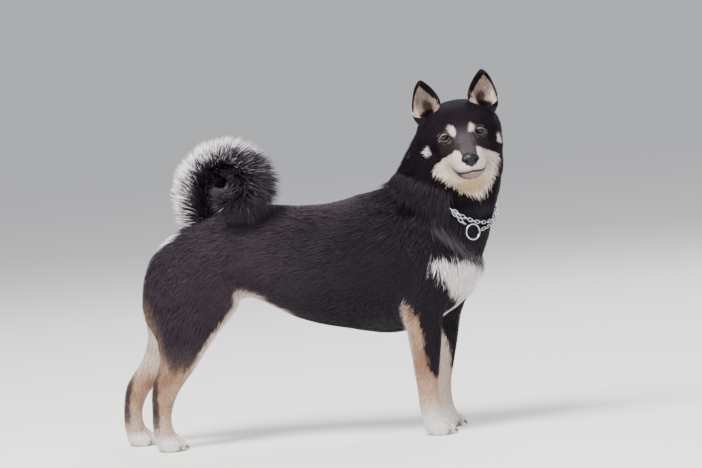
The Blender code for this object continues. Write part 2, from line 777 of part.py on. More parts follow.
# Parting the body in its nodes
def outset(outline, distance):
    """A convex outline with each side moved outward."""
    count = len(outline)
    found = []
    for i in range(count):
        a, b, c = (np.array(outline[j % count], float) for j in (i - 1, i, i + 1))
        one, two = b - a, c - b
        n1 = np.array([one[1], -one[0]]) / np.linalg.norm(one)
        n2 = np.array([two[1], -two[0]]) / np.linalg.norm(two)
        found.append(b + (n1 + n2) * distance / (1 + n1.dot(n2)))
    return found


def prism(outline, side, inner, distance, tools):
    """A block from a side outline, from near the middle plane out past the body."""
    rings = []
    for y in (side * (inner - distance), side * 0.2):
        rings.append([Vector((x, y, z)) for x, z in outset(outline, distance)])
    return loft("prism", rings, tools)


def half_space(point, normal, distance, tools):
    """A big block on one side of a plane."""
    turn = Vector(normal).to_track_quat("Z", "Y").to_matrix().to_4x4()
    corners = ((-0.6, -0.6), (0.6, -0.6), (0.6, 0.6), (-0.6, 0.6))
    rings = [[Vector((x, y, z)) for x, y in corners] for z in (-distance, 1.0)]
    made = loft("half", rings, tools)
    made.data.transform(Matrix.Translation(point) @ turn)
    return made


def part_off(body, name, block, tools, collection):
    """Takes the flesh inside a block off the body as a node of its own, with a thin gap."""
    piece = copy_of(body, name, collection)
    carve(piece, block(0.0), "INTERSECT")
    carve(body, block(GAP))
    keep_largest(piece)
    keep_largest(body)
    return piece


LEG_BLOCKS = {
    "front": (
        [(0.100, -0.02), (0.262, -0.02), (0.258, 0.190), (0.232, 0.262), (0.150, 0.262), (0.112, 0.215)],
        0.030,
    ),
    "hind": ([(-0.345, -0.02), (-0.098, -0.02), (-0.096, 0.262), (-0.112, 0.290), (-0.272, 0.290)], 0.012),
}


def build():
    for thing in list(bpy.data.objects):
        bpy.data.objects.remove(thing)
    dog = fresh_collection("shiba_inu")
    tools = fresh_collection("tools")
    masses = [trunk(tools), neck(tools), head(tools), *face_masses(tools)]
    for side in SIDES.values():
        masses += [leg(FRONT_LEG, side, front_shift, tools), leg(HIND_LEG, side, hind_shift, tools)]
        masses += paw("front", side, tools) + paw("hind", side, tools)
    body = one_skin(masses, dog)
    soften(body)
    thin_out(body, BODY_TRIANGLES)
    flatten_feet(body)

    additions = [lid_ball(side, tools) for side in SIDES.values()]
    for side in SIDES.values():
        additions += claws("front", side, tools) + claws("hind", side, tools)
    fuse(body, additions)
    carve(body, mouth_line(body, tools))
    pad, seat = nose(dog, tools)
    carve(body, seat)
    nodes = [pad]
    for name, side in SIDES.items():
        nodes.append(ear(side, body, dog, tools))
    for name, side in SIDES.items():
        size = EYE_RADIUS
        eye = ball("eye_" + name, eye_matrix(side), (size, size, size), dog, 12, 8)
        carve(body, grown(eye, GAP, tools))
        carve(body, lid_opening(side, tools))
        nodes.append(eye)
    keep_largest(body)

    head_node = part_off(
        body, "head", lambda d: half_space((0.235, -0.02, 0.3960), (0.0, -0.29, 0.957), d, tools), tools, dog
    )
    neck_node = part_off(
        body, "neck", lambda d: half_space((0.189, 0.0, 0.309), (0.7071, 0.0, 0.7071), d, tools), tools, dog
    )
    nodes += [head_node, neck_node]
    for kind, (outline, inner) in LEG_BLOCKS.items():
        for name, side in SIDES.items():
            moved = [(x + (0.010 if kind == "front" and side > 0 else 0.0), z) for x, z in outline]
            block = lambda d, o=moved, s=side, i=inner: prism(o, s, i, d, tools)
            nodes.append(part_off(body, "leg_%s_%s" % (kind, name), block, tools, dog))
    body.name = "torso"
    nodes.append(body)

    tail = tail_core(dog)
    fuse(tail, plume(tools))
    keep_largest(tail)
    carve(tail, grown(body, GAP, tools))
    keep_largest(tail)
    curl = part_off(
        tail, "tail_curl", lambda d: half_space((-0.121, 0, 0.408), (0.966, 0.0, -0.259), d, tools), tools, dog
    )
    tail.name = "tail_root"
    nodes += [tail, curl]
    nodes += collar(neck_node, body, dog, tools)

    for node in nodes:
        if node.name.startswith("collar"):
            paint(node, STEEL, 0.25, 1.0)
        elif node.name == "nose":
            paint(node, WET_BLACK, 0.35)
        elif node.name.startswith("eye"):
            paint(node, BROWN, 0.05)
        elif node.name.startswith("leg"):
            paint(node, TAN, 0.8)
        else:
            paint(node, BLACK, 0.7)
    centre_on_floor(nodes)


def centre_on_floor(nodes):
    """Moves everything so that the middle of the whole dog's footprint is at the origin."""
    points = np.array([v.co for node in nodes for v in node.data.vertices])
    low, high = points.min(0), points.max(0)
    move = Matrix.Translation((-(low[0] + high[0]) / 2, -(low[1] + high[1]) / 2, -low[2]))
    for node in nodes:
        node.data.transform(move)
        print(node.name, sum(len(f.vertices) - 2 for f in node.data.polygons))
    print("moved by", tuple(round(c, 5) for c in move.translation))


build()
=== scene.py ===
"""A life-size shiba inu, black with tan and cream points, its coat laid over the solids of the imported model.
Metres, +Z up, +X along the dog, +Y to its left."""
import math

import bmesh
import bpy
import numpy as np
from mathutils import Matrix, Vector
from mathutils.bvhtree import BVHTree


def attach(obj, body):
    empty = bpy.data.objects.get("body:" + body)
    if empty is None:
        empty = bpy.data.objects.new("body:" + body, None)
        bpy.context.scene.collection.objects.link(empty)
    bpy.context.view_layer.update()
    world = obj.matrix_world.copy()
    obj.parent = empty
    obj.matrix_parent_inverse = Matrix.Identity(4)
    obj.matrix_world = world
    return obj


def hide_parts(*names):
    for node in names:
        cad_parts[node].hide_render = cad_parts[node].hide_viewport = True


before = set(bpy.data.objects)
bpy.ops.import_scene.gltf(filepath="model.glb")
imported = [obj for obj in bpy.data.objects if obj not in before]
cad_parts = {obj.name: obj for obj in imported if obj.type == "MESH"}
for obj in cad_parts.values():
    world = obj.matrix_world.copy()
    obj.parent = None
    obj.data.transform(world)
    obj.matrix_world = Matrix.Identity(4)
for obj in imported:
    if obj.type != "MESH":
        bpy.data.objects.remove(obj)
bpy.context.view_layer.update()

# The hide under the coat
# One skin over the whole dog, from the lips to the paws and up to the root of the tail. It follows the
# flesh of the solids and lies inside them by the depth of the hair that stands on it.
DOG_PLACE = Vector((0.00623, 0.02038, 0.0))
HIDE_GRAIN = 0.0022
TRUNK = [  # along the back: x, top, bottom, half width
    (-0.240, 0.290, 0.240, 0.026),
    (-0.228, 0.316, 0.218, 0.046),
    (-0.205, 0.340, 0.205, 0.060),
    (-0.175, 0.3535, 0.204, 0.068),
    (-0.140, 0.3620, 0.212, 0.071),
    (-0.100, 0.3675, 0.2270, 0.070),
    (-0.056, 0.3700, 0.2055, 0.071),
    (-0.016, 0.3655, 0.1855, 0.076),
    (0.025, 0.3645, 0.1735, 0.081),
    (0.066, 0.3705, 0.1645, 0.085),
    (0.094, 0.3775, 0.1585, 0.086),
    (0.132, 0.3840, 0.1560, 0.085),
    (0.170, 0.3800, 0.1640, 0.081),
    (0.205, 0.3600, 0.1790, 0.073),
    (0.232, 0.3350, 0.1960, 0.060),
    (0.252, 0.3120, 0.2140, 0.043),
    (0.264, 0.2900, 0.2350, 0.022),
]
NECK = [  # up the neck: height, back, front, right side, left side
    (0.250, 0.118, 0.2600, -0.060, 0.060),
    (0.290, 0.108, 0.2795, -0.071, 0.071),
    (0.320, 0.112, 0.2885, -0.075, 0.071),
    (0.345, 0.120, 0.2975, -0.075, 0.068),
    (0.375, 0.132, 0.308, -0.074, 0.064),
    (0.405, 0.147, 0.313, -0.070, 0.061),
    (0.435, 0.161, 0.310, -0.063, 0.057),
    (0.460, 0.178, 0.296, -0.053, 0.052),
]
FRONT_LEG = [  # down the leg: height, back, front, inner side, outer side
    (0.338, 0.160, 0.204, 0.034, 0.058),
    (0.318, 0.140, 0.213, 0.028, 0.073),
    (0.290, 0.124, 0.222, 0.026, 0.083),
    (0.255, 0.117, 0.227, 0.026, 0.087),
    (0.222, 0.121, 0.222, 0.027, 0.085),
    (0.194, 0.134, 0.213, 0.029, 0.079),
    (0.172, 0.1455, 0.2055, 0.031, 0.074),
    (0.132, 0.1500, 0.2005, 0.034, 0.071),
    (0.099, 0.1540, 0.1955, 0.036, 0.069),
    (0.076, 0.1562, 0.1915, 0.037, 0.0685),
    (0.048, 0.1575, 0.1925, 0.037, 0.069),
    (0.028, 0.1615, 0.1965, 0.038, 0.070),
    (0.012, 0.1655, 0.1985, 0.040, 0.068),
]
HIND_LEG = [  # down the leg: height, back, front, inner side, outer side
    (0.340, -0.205, -0.145, 0.014, 0.038),
    (0.322, -0.228, -0.128, 0.010, 0.058),
    (0.300, -0.246, -0.115, 0.008, 0.070),
    (0.262, -0.2595, -0.104, 0.008, 0.081),
    (0.222, -0.2625, -0.106, 0.014, 0.085),
    (0.197, -0.2550, -0.125, 0.022, 0.084),
    (0.175, -0.2440, -0.145, 0.028, 0.081),
    (0.150, -0.2395, -0.164, 0.034, 0.077),
    (0.125, -0.2450, -0.184, 0.038, 0.074),
    (0.106, -0.2545, -0.2000, 0.040, 0.072),
    (0.090, -0.2580, -0.2120, 0.041, 0.071),
    (0.068, -0.2585, -0.2235, 0.041, 0.0705),
    (0.045, -0.2595, -0.2275, 0.041, 0.0705),
    (0.026, -0.2580, -0.2240, 0.041, 0.071),
    (0.012, -0.2530, -0.2180, 0.042, 0.070),
]
HEAD = [  # forward of the eyes: x, top, bottom, half width, squareness
    (-0.116, 0.012, -0.040, 0.034, 2.0),
    (-0.104, 0.028, -0.053, 0.049, 2.0),
    (-0.086, 0.0395, -0.063, 0.0590, 2.1),
    (-0.064, 0.0450, -0.070, 0.0655, 2.15),
    (-0.045, 0.0455, -0.072, 0.0660, 2.2),
    (-0.030, 0.0435, -0.072, 0.0635, 2.25),
    (-0.018, 0.0385, -0.071, 0.0575, 2.3),
    (-0.008, 0.0300, -0.069, 0.0485, 2.3),
    (0.002, 0.0150, -0.067, 0.0390, 2.3),
    (0.014, 0.0010, -0.065, 0.0320, 2.4),
    (0.030, -0.0070, -0.0635, 0.0272, 2.4),
    (0.046, -0.0120, -0.0615, 0.0238, 2.4),
    (0.057, -0.0155, -0.0585, 0.0205, 2.3),
    (0.0645, -0.0200, -0.0530, 0.0160, 2.1),
    (0.068, -0.0260, -0.0460, 0.0100, 2.0),
]
FACE_BALLS = [  # cheeks, throat, brows and lips: x, y, z, half sizes; those with a y stand on both sides
    (-0.012, 0, -0.064, 0.050, 0.041, 0.028),
    (-0.040, 0, -0.082, 0.046, 0.050, 0.034),
    (-0.048, 0.0325, -0.030, 0.038, 0.0335, 0.041),
    (-0.014, 0.0205, 0.0125, 0.0140, 0.0125, 0.0080),
    (0.0440, 0.0105, -0.0370, 0.0235, 0.0145, 0.0135),
]
EYE_SPOT = (-0.0085, 0.0265, 0.0)
EYEBALL = 0.0105
LID_BALL = 0.0123
TOES = [(-0.0150, -0.0050), (-0.0052, 0.0035), (0.0052, 0.0035), (0.0150, -0.0050)]
TOE_SIZE = (0.0150, 0.0066, 0.0118)
PAW_SPOTS = {"front": (0.1955, 0.0545), "hind": (-0.2245, 0.0555)}
SIDES = {"right": -1, "left": 1}
X, Y, Z = Vector((1, 0, 0)), Vector((0, 1, 0)), Vector((0, 0, 1))

FACE = Matrix.Translation(Vector((0.2585, -0.0630, 0.4567)) + DOG_PLACE)
FACE = FACE @ Matrix.Rotation(math.radians(-77.5), 4, "Z") @ Matrix.Rotation(math.radians(9.0), 4, "Y")
FACE = FACE @ Matrix.Rotation(math.radians(6.0), 4, "X")


def between_rows(rows, steps):
    """A table of sections with more sections between them, on a smooth curve through all."""
    table = np.array(rows, float)
    padded = np.vstack([2 * table[0] - table[1], table, 2 * table[-1] - table[-2]])
    found = []
    for i in range(1, len(table)):
        a, b, c, d = padded[i - 1 : i + 3]
        for s in range(steps):
            t = s / steps
            bend = (2 * a - 5 * b + 4 * c - d) * t**2 + (3 * b - a - 3 * c + d) * t**3
            found.append(0.5 * (2 * b + (c - a) * t + bend))
    return found + [table[-1]]


def ring(middle, across, upward, half_width, half_height, square=2.0, count=40):
    points = []
    for k in range(count):
        c, s = math.cos(2 * math.pi * k / count), math.sin(2 * math.pi * k / count)
        x = math.copysign(abs(c) ** (2 / square), c) * half_width
        y = math.copysign(abs(s) ** (2 / square), s) * half_height
        points.append(Vector(middle) + across * x + upward * y)
    return points


def closed_tube(rings, joined=False):
    """Points and faces of a body through rings, with flat ends, or joined round to the first ring."""
    count, rows = len(rings[0]), len(rings)
    points = [p for one in rings for p in one]
    faces = []
    for r in range(rows if joined else rows - 1):
        this, after = r * count, (r + 1) % rows * count
        faces += [(this + k, this + (k + 1) % count, after + (k + 1) % count, after + k) for k in range(count)]
    if not joined:
        faces += [tuple(reversed(range(count))), tuple(range((rows - 1) * count, rows * count))]
    return points, faces


def ball(matrix, size, segments=24, rows=16):
    shape = bmesh.new()
    bmesh.ops.create_uvsphere(shape, u_segments=segments, v_segments=rows, radius=1.0)
    bmesh.ops.transform(shape, matrix=matrix @ Matrix.Diagonal((*size, 1)), verts=shape.verts)
    shape.verts.index_update()
    found = [v.co.copy() for v in shape.verts], [tuple(v.index for v in f.verts) for f in shape.faces]
    shape.free()
    return found


def piece(name, points, faces):
    """A mesh object with its faces turned outward."""
    mesh = bpy.data.meshes.new(name)
    mesh.from_pydata([tuple(p) for p in points], [], faces)
    shape = bmesh.new()
    shape.from_mesh(mesh)
    bmesh.ops.recalc_face_normals(shape, faces=shape.faces)
    shape.to_mesh(mesh)
    shape.free()
    mesh.shade_smooth()
    made = bpy.data.objects.new(name, mesh)
    bpy.context.scene.collection.objects.link(made)
    return made


def gathered(name, bodies):
    """Many bodies as one mesh object."""
    points, faces = [], []
    for more_points, more_faces in bodies:
        start = len(points)
        points += more_points
        faces += [tuple(start + v for v in f) for f in more_faces]
    return piece(name, points, faces)


def settle(thing):
    """Applies the modifiers of a piece."""
    graph = bpy.context.evaluated_depsgraph_get()
    mesh = bpy.data.meshes.new_from_object(thing.evaluated_get(graph))
    thing.modifiers.clear()
    thing.data = mesh
    mesh.shade_smooth()


def one_surface(thing, grain):
    step = thing.modifiers.new("one_surface", "REMESH")
    step.mode = "VOXEL"
    step.voxel_size = grain
    settle(thing)


def cut_with(thing, tool):
    step = thing.modifiers.new("cut", "BOOLEAN")
    step.operation = "DIFFERENCE"
    step.solver = "MANIFOLD"
    step.object = tool
    settle(thing)
    bpy.data.objects.remove(tool)


def places_of(mesh):
    found = np.empty(len(mesh.vertices) * 3, np.float32)
    mesh.vertices.foreach_get("co", found)
    return found.reshape(-1, 3).astype(float)


def normals_of(mesh):
    found = np.empty(len(mesh.vertices) * 3, np.float32)
    mesh.vertex_normals.foreach_get("vector", found)
    return found.reshape(-1, 3).astype(float)


def move_to(mesh, places):
    mesh.vertices.foreach_set("co", places.astype(np.float32).ravel())
    mesh.update()


def relax(mesh, share, rounds):
    """Evens out a surface, each point by its own share."""
    pairs = np.empty(len(mesh.edges) * 2, np.int32)
    mesh.edges.foreach_get("vertices", pairs)
    one, two = pairs.reshape(-1, 2).T
    places = places_of(mesh)
    count = np.bincount(pairs, minlength=len(places))
    for _ in range(rounds):
        total = np.empty_like(places)
        for k in range(3):
            total[:, k] = np.bincount(one, places[two, k], len(places)) + np.bincount(two, places[one, k], len(places))
        places += (total / count[:, None] - places) * np.reshape(share, (-1, 1))
    move_to(mesh, places)


def in_frame(matrix, points):
    """Row-frame points as a frame sees them."""
    turned = np.array(matrix.inverted())
    return points @ turned[:3, :3].T + turned[:3, 3]


def hind_step(side, height):
    t = np.clip((0.300 - np.asarray(height)) / 0.250, 0, 1)
    return -0.068 * t * t * (3 - 2 * t) if side > 0 else 0 * t


def front_step(side, height):
    return 0.003 + 0.085 * np.asarray(height) if side > 0 else 0 * np.asarray(height)


def dog_matrix(x, y, z):
    return Matrix.Translation(Vector((x, y, z)) + DOG_PLACE)


STEPS = {"front": front_step, "hind": hind_step}
flesh = []
rows = between_rows(TRUNK, 4)
flesh.append(closed_tube([ring(DOG_PLACE + Vector((x, 0, (t + b) / 2)), Y, Z, w, (t - b) / 2, 2.15) for x, t, b, w in rows]))
rows = between_rows(NECK, 4)
flesh.append(
    closed_tube(
        [ring(DOG_PLACE + Vector(((b + f) / 2, (r + l) / 2, z)), X, Y, (f - b) / 2, (l - r) / 2) for z, b, f, r, l in rows]
    )
)
rings = [ring((x, 0, (t + b) / 2), Y, Z, w, (t - b) / 2, q, 56) for x, t, b, w, q in between_rows(HEAD, 5)]
flesh.append(closed_tube([[FACE @ p for p in one] for one in rings]))
for x, y, z, *size in FACE_BALLS:
    for side in (-1, 1) if y else (1,):
        flesh.append(ball(FACE @ Matrix.Translation((x, side * y, z)), size, 32, 24))
for side in (-1, 1):
    lids = FACE @ Matrix.Translation((EYE_SPOT[0], side * EYE_SPOT[1], EYE_SPOT[2]))
    flesh.append(ball(lids, (LID_BALL, LID_BALL, LID_BALL), 32, 24))
    for table, kind in ((FRONT_LEG, "front"), (HIND_LEG, "hind")):
        rings = []
        for z, back, fore, inner, outer in between_rows(table, 4):
            middle = Vector(((back + fore) / 2 + float(STEPS[kind](side, z)), side * (inner + outer) / 2, z)) + DOG_PLACE
            rings.append(ring(middle, X, Y, (fore - back) / 2, (outer - inner) / 2, 2.1, 28))
        flesh.append(closed_tube(rings))
        x, y = PAW_SPOTS[kind]
        x, y = x + float(STEPS[kind](side, 0.0)), side * y
        flesh.append(ball(dog_matrix(x - 0.010, y, 0.0135), (0.0215, 0.0175, 0.0165)))
        for aside, ahead in TOES:
            flesh.append(ball(dog_matrix(x + ahead, y + aside, 0.0098), TOE_SIZE))
hide = gathered("hide", flesh)
one_surface(hide, HIDE_GRAIN)
places = places_of(hide.data)
local = in_frame(FACE, places)
share = np.full(len(places), 0.5)
share[(local[:, 0] > -0.02) & (local[:, 2] > -0.09) & (abs(local[:, 1]) < 0.06)] = 0.125
share[places[:, 2] < 0.034] = 0.075
for side in (-1, 1):
    away = np.linalg.norm(local - np.array([EYE_SPOT[0], side * EYE_SPOT[1], EYE_SPOT[2]]), axis=1)
    share = np.minimum(share, np.interp(away, [0.0125, 0.017], [0.02, 0.5]))
relax(hide.data, share, 30)

# The lie of the coat
# Hair runs back from the nose over the head, down the neck and chest, back along the trunk and down the
# legs to the toes. It is longest on neck, breeches and rump, and like velvet on the face and the feet.
BODY_LIE = [  # place on the right side, way the hair runs, length and depth in mm
    (0.130, 0.000, 0.384, -1.00, 0.0, -0.10, 30, 8.5),
    (0.060, 0.000, 0.370, -1.00, 0.0, 0.05, 27, 7.5),
    (-0.020, 0.000, 0.366, -1.00, 0.0, 0.00, 25, 7.0),
    (-0.120, 0.000, 0.364, -1.00, 0.0, -0.05, 25, 7.0),
    (-0.205, 0.000, 0.340, -0.70, 0.0, -0.70, 26, 8.0),
    (-0.238, 0.000, 0.290, -0.10, -0.3, -1.00, 26, 8.0),
    (0.130, 0.070, 0.340, -0.95, 0.1, -0.45, 27, 7.5),
    (0.040, 0.065, 0.320, -1.00, 0.0, -0.20, 25, 6.5),
    (0.060, 0.083, 0.260, -0.95, 0.0, -0.40, 23, 6.0),
    (-0.040, 0.073, 0.290, -1.00, 0.0, -0.25, 23, 6.0),
    (-0.050, 0.065, 0.240, -0.95, 0.0, -0.40, 21, 6.0),
    (-0.130, 0.070, 0.320, -0.95, 0.1, -0.40, 23, 6.5),
    (0.050, 0.050, 0.180, -0.90, 0.0, -0.55, 20, 6.0),
    (-0.020, 0.045, 0.195, -0.90, 0.0, -0.50, 20, 6.0),
    (0.050, 0.000, 0.166, -1.00, 0.0, -0.25, 20, 6.0),
    (-0.060, 0.000, 0.212, -1.00, 0.0, 0.10, 15, 5.0),
    (0.150, 0.000, 0.158, -0.95, 0.0, -0.30, 22, 6.0),
    (0.222, 0.000, 0.192, -0.60, 0.0, -0.80, 22, 6.5),
    (0.262, 0.000, 0.260, -0.10, 0.0, -1.00, 26, 8.0),
    (0.235, 0.050, 0.265, -0.20, -0.2, -1.00, 25, 7.5),
    (0.245, 0.040, 0.310, -0.15, 0.0, -1.00, 28, 9.0),
    (0.190, 0.078, 0.300, -0.45, 0.0, -0.90, 25, 7.0),
    (0.130, 0.086, 0.280, -0.80, 0.0, -0.60, 24, 6.5),
    (0.180, 0.082, 0.245, -0.40, 0.0, -1.00, 20, 6.0),
    (0.130, 0.075, 0.215, -0.80, 0.0, -0.70, 20, 6.0),
    (-0.160, 0.078, 0.280, -0.70, 0.0, -0.75, 22, 6.5),
    (-0.220, 0.065, 0.280, -0.55, 0.2, -0.85, 23, 7.0),
    (-0.252, 0.045, 0.240, -0.30, 0.4, -1.00, 24, 7.5),
    (-0.248, 0.015, 0.230, 0.00, -0.6, -1.00, 22, 7.0),
    (-0.110, 0.050, 0.235, -0.75, 0.0, -0.70, 18, 5.5),
    (-0.110, 0.020, 0.225, -0.80, 0.0, -0.50, 14, 4.5),
    (-0.170, 0.083, 0.225, -0.55, 0.0, -0.90, 18, 5.5),
    (-0.170, 0.012, 0.220, -0.50, 0.0, -0.90, 14, 4.5),
]
NECK_LIE = [
    (0.125, 0.000, 0.395, -0.70, 0.0, -0.75, 32, 10.0),
    (0.150, 0.000, 0.430, -0.50, 0.0, -0.85, 32, 10.0),
    (0.150, 0.060, 0.400, -0.55, 0.2, -0.85, 32, 10.0),
    (0.165, 0.070, 0.350, -0.60, 0.2, -0.85, 32, 9.5),
    (0.225, 0.072, 0.360, -0.30, 0.1, -1.00, 31, 9.5),
    (0.215, 0.072, 0.400, -0.25, 0.1, -1.00, 30, 9.0),
    (0.290, 0.040, 0.370, -0.05, 0.0, -1.00, 28, 9.0),
    (0.280, 0.030, 0.320, 0.00, 0.0, -1.00, 28, 9.0),
    (0.300, 0.000, 0.360, 0.00, 0.0, -1.00, 26, 8.5),
    (0.276, 0.000, 0.310, 0.05, 0.0, -1.00, 28, 9.0),
    (0.230, 0.060, 0.320, -0.20, 0.1, -1.00, 30, 9.0),
]
LEG_LIE = {
    "front": [
        (0.150, 0.083, 0.200, -0.60, 0.0, -0.90, 15, 4.5),
        (0.195, 0.078, 0.200, -0.25, 0.0, -1.00, 13, 4.0),
        (0.205, 0.050, 0.190, -0.10, 0.0, -1.00, 12, 3.5),
        (0.145, 0.050, 0.185, -0.50, 0.0, -0.90, 15, 4.5),
        (0.170, 0.030, 0.180, -0.20, 0.0, -1.00, 12, 3.5),
        (0.175, 0.072, 0.140, -0.12, 0.0, -1.00, 10, 2.8),
        (0.152, 0.053, 0.130, -0.25, 0.0, -1.00, 13, 3.6),
        (0.200, 0.053, 0.130, 0.00, 0.0, -1.00, 9, 2.4),
        (0.175, 0.034, 0.130, -0.10, 0.0, -1.00, 9, 2.4),
        (0.175, 0.070, 0.085, -0.05, 0.0, -1.00, 8.5, 2.3),
        (0.175, 0.036, 0.085, -0.05, 0.0, -1.00, 8, 2.2),
        (0.157, 0.053, 0.060, 0.00, 0.0, -1.00, 10, 2.8),
        (0.194, 0.053, 0.060, 0.15, 0.0, -1.00, 7, 2.0),
        (0.200, 0.054, 0.026, 0.90, 0.0, -0.70, 6, 1.5),
        (0.214, 0.054, 0.012, 0.50, 0.0, -1.00, 4.5, 1.2),
        (0.190, 0.072, 0.014, 0.50, 0.0, -0.80, 5, 1.3),
        (0.190, 0.036, 0.014, 0.50, 0.0, -0.80, 5, 1.3),
        (0.165, 0.054, 0.012, -0.20, 0.0, -1.00, 6, 1.5),
    ],
    "hind": [
        (-0.135, 0.080, 0.200, -0.50, 0.0, -0.95, 15, 4.5),
        (-0.135, 0.030, 0.190, -0.50, 0.0, -0.95, 12, 3.6),
        (-0.170, 0.080, 0.165, -0.50, 0.0, -0.95, 12, 3.6),
        (-0.240, 0.060, 0.185, -0.20, 0.2, -1.00, 18, 5.0),
        (-0.205, 0.034, 0.165, -0.30, 0.0, -1.00, 12, 3.4),
        (-0.205, 0.076, 0.135, -0.45, 0.0, -1.00, 10, 3.0),
        (-0.235, 0.057, 0.135, -0.30, 0.0, -1.00, 11, 3.2),
        (-0.252, 0.057, 0.105, -0.20, 0.0, -1.00, 9, 2.6),
        (-0.225, 0.072, 0.100, -0.25, 0.0, -1.00, 8.5, 2.4),
        (-0.225, 0.041, 0.100, -0.25, 0.0, -1.00, 8.5, 2.4),
        (-0.243, 0.071, 0.060, 0.00, 0.0, -1.00, 8, 2.3),
        (-0.243, 0.041, 0.060, 0.00, 0.0, -1.00, 8, 2.3),
        (-0.259, 0.056, 0.060, 0.00, 0.0, -1.00, 9, 2.6),
        (-0.226, 0.056, 0.050, 0.20, 0.0, -1.00, 7, 2.0),
        (-0.218, 0.056, 0.026, 0.90, 0.0, -0.70, 6, 1.5),
        (-0.206, 0.056, 0.012, 0.50, 0.0, -1.00, 4.5, 1.2),
        (-0.232, 0.073, 0.014, 0.50, 0.0, -0.80, 5, 1.3),
        (-0.232, 0.038, 0.014, 0.50, 0.0, -0.80, 5, 1.3),
        (-0.255, 0.056, 0.012, -0.20, 0.0, -1.00, 6, 1.5),
    ],
}
HEAD_LIE = [  # in the face's own frame
    (0.066, 0.000, -0.014, -1.00, 0.00, 0.30, 3.0, 1.0),
    (0.045, 0.000, -0.011, -1.00, 0.00, 0.20, 3.5, 1.2),
    (0.020, 0.000, -0.002, -1.00, 0.00, 0.50, 4.5, 1.5),
    (0.000, 0.000, 0.018, -0.80, 0.00, 0.80, 5.5, 1.8),
    (-0.018, 0.000, 0.038, -1.00, 0.00, 0.60, 7.5, 2.4),
    (-0.018, 0.022, 0.034, -1.00, 0.20, 0.55, 7.0, 2.2),
    (-0.045, 0.000, 0.046, -1.00, 0.00, 0.10, 10, 3.2),
    (-0.075, 0.000, 0.043, -1.00, 0.00, -0.15, 14, 4.5),
    (-0.104, 0.000, 0.025, -0.80, 0.00, -0.70, 20, 6.5),
    (-0.115, 0.000, -0.020, -0.30, 0.00, -1.00, 28, 9.0),
    (-0.060, 0.045, 0.030, -1.00, 0.20, 0.05, 12, 3.5),
    (-0.085, 0.055, -0.010, -0.80, 0.10, -0.70, 22, 7.0),
    (-0.005, 0.018, 0.018, -0.70, 0.35, 0.70, 4.5, 1.5),
    (-0.004, 0.034, 0.010, -0.80, 0.60, 0.30, 4.5, 1.5),
    (-0.020, 0.048, 0.014, -1.00, 0.30, 0.10, 7.0, 2.2),
    (-0.040, 0.062, 0.005, -1.00, 0.10, -0.30, 11, 3.5),
    (0.010, 0.016, -0.004, -1.00, 0.25, 0.25, 3.0, 1.1),
    (0.008, 0.026, -0.014, -0.90, 0.50, -0.15, 3.5, 1.2),
    (-0.002, 0.040, -0.014, -0.90, 0.50, -0.35, 5.5, 1.8),
    (0.040, 0.024, -0.026, -1.00, 0.10, 0.00, 4.0, 1.4),
    (0.020, 0.028, -0.035, -1.00, 0.15, -0.15, 5.0, 1.7),
    (0.062, 0.014, -0.036, -0.60, 0.60, -0.30, 3.0, 1.0),
    (0.050, 0.022, -0.045, -0.90, 0.20, -0.40, 4.0, 1.3),
    (0.066, 0.000, -0.044, -0.10, 0.00, -1.00, 3.0, 1.0),
    (0.060, 0.000, -0.056, -0.50, 0.00, -0.90, 5.0, 1.5),
    (0.040, 0.012, -0.062, -1.00, 0.10, -0.40, 6.5, 2.0),
    (0.010, 0.034, -0.050, -0.90, 0.20, -0.50, 9.0, 2.8),
    (0.010, 0.000, -0.072, -0.80, 0.00, -0.70, 12, 3.8),
    (-0.010, 0.048, -0.035, -0.80, 0.35, -0.60, 12, 3.8),
    (-0.015, 0.048, -0.060, -0.60, 0.30, -0.90, 17, 5.2),
    (-0.030, 0.062, -0.025, -0.80, 0.25, -0.70, 16, 5.0),
    (-0.055, 0.067, -0.040, -0.60, 0.25, -0.90, 24, 7.5),
    (0.005, 0.020, -0.088, -0.45, 0.10, -1.00, 18, 5.5),
    (-0.005, 0.000, -0.105, -0.50, 0.00, -1.00, 20, 6.5),
    (-0.040, 0.045, -0.095, -0.40, 0.10, -1.00, 26, 8.0),
]


def lie_table():
    """Every row of the lie for both sides: place, way, length and depth in the row frame."""
    found = []
    for side in (-1, 1):
        for x, y, z, dx, dy, dz, length, depth in BODY_LIE + NECK_LIE:
            found.append(((x, side * y, z), (dx, side * dy, dz), length, depth))
        for kind, rows in LEG_LIE.items():
            for x, y, z, dx, dy, dz, length, depth in rows:
                found.append(((x + float(STEPS[kind](side, z)), side * y, z), (dx, side * dy, dz), length, depth))
    found = [(Vector(p) + DOG_PLACE, Vector(w), length, depth) for p, w, length, depth in found]
    for side in (-1, 1):
        for x, y, z, dx, dy, dz, length, depth in HEAD_LIE:
            way = FACE.to_3x3() @ Vector((dx, side * dy, dz))
            found.append((FACE @ Vector((x, side * y, z)), way, length, depth))
    return np.array([(*p, *w.normalized(), length, depth) for p, w, length, depth in found])


LIE = lie_table()


def coat_at(points):
    """Way, length and depth of the coat at each point, blended from the nearest rows of the lie."""
    ways, sizes = np.empty((len(points), 3)), np.empty((len(points), 2))
    for start in range(0, len(points), 20000):
        some = points[start : start + 20000]
        away = ((some[:, None, :] - LIE[None, :, :3]) ** 2).sum(2)
        weight = 1 / (away + 0.008**2) ** 2.5
        weight /= weight.sum(1, keepdims=True)
        ways[start : start + 20000] = weight @ LIE[:, 3:6]
        sizes[start : start + 20000] = weight @ LIE[:, 6:8]
    return ways, sizes[:, 0] / 1000, sizes[:, 1] / 1000


def flattened(ways, ups):
    """Ways laid along the surface, at length one."""
    ways = ways - ups * (ways * ups).sum(1, keepdims=True)
    return ways / np.maximum(np.linalg.norm(ways, axis=1, keepdims=True), 1e-9)


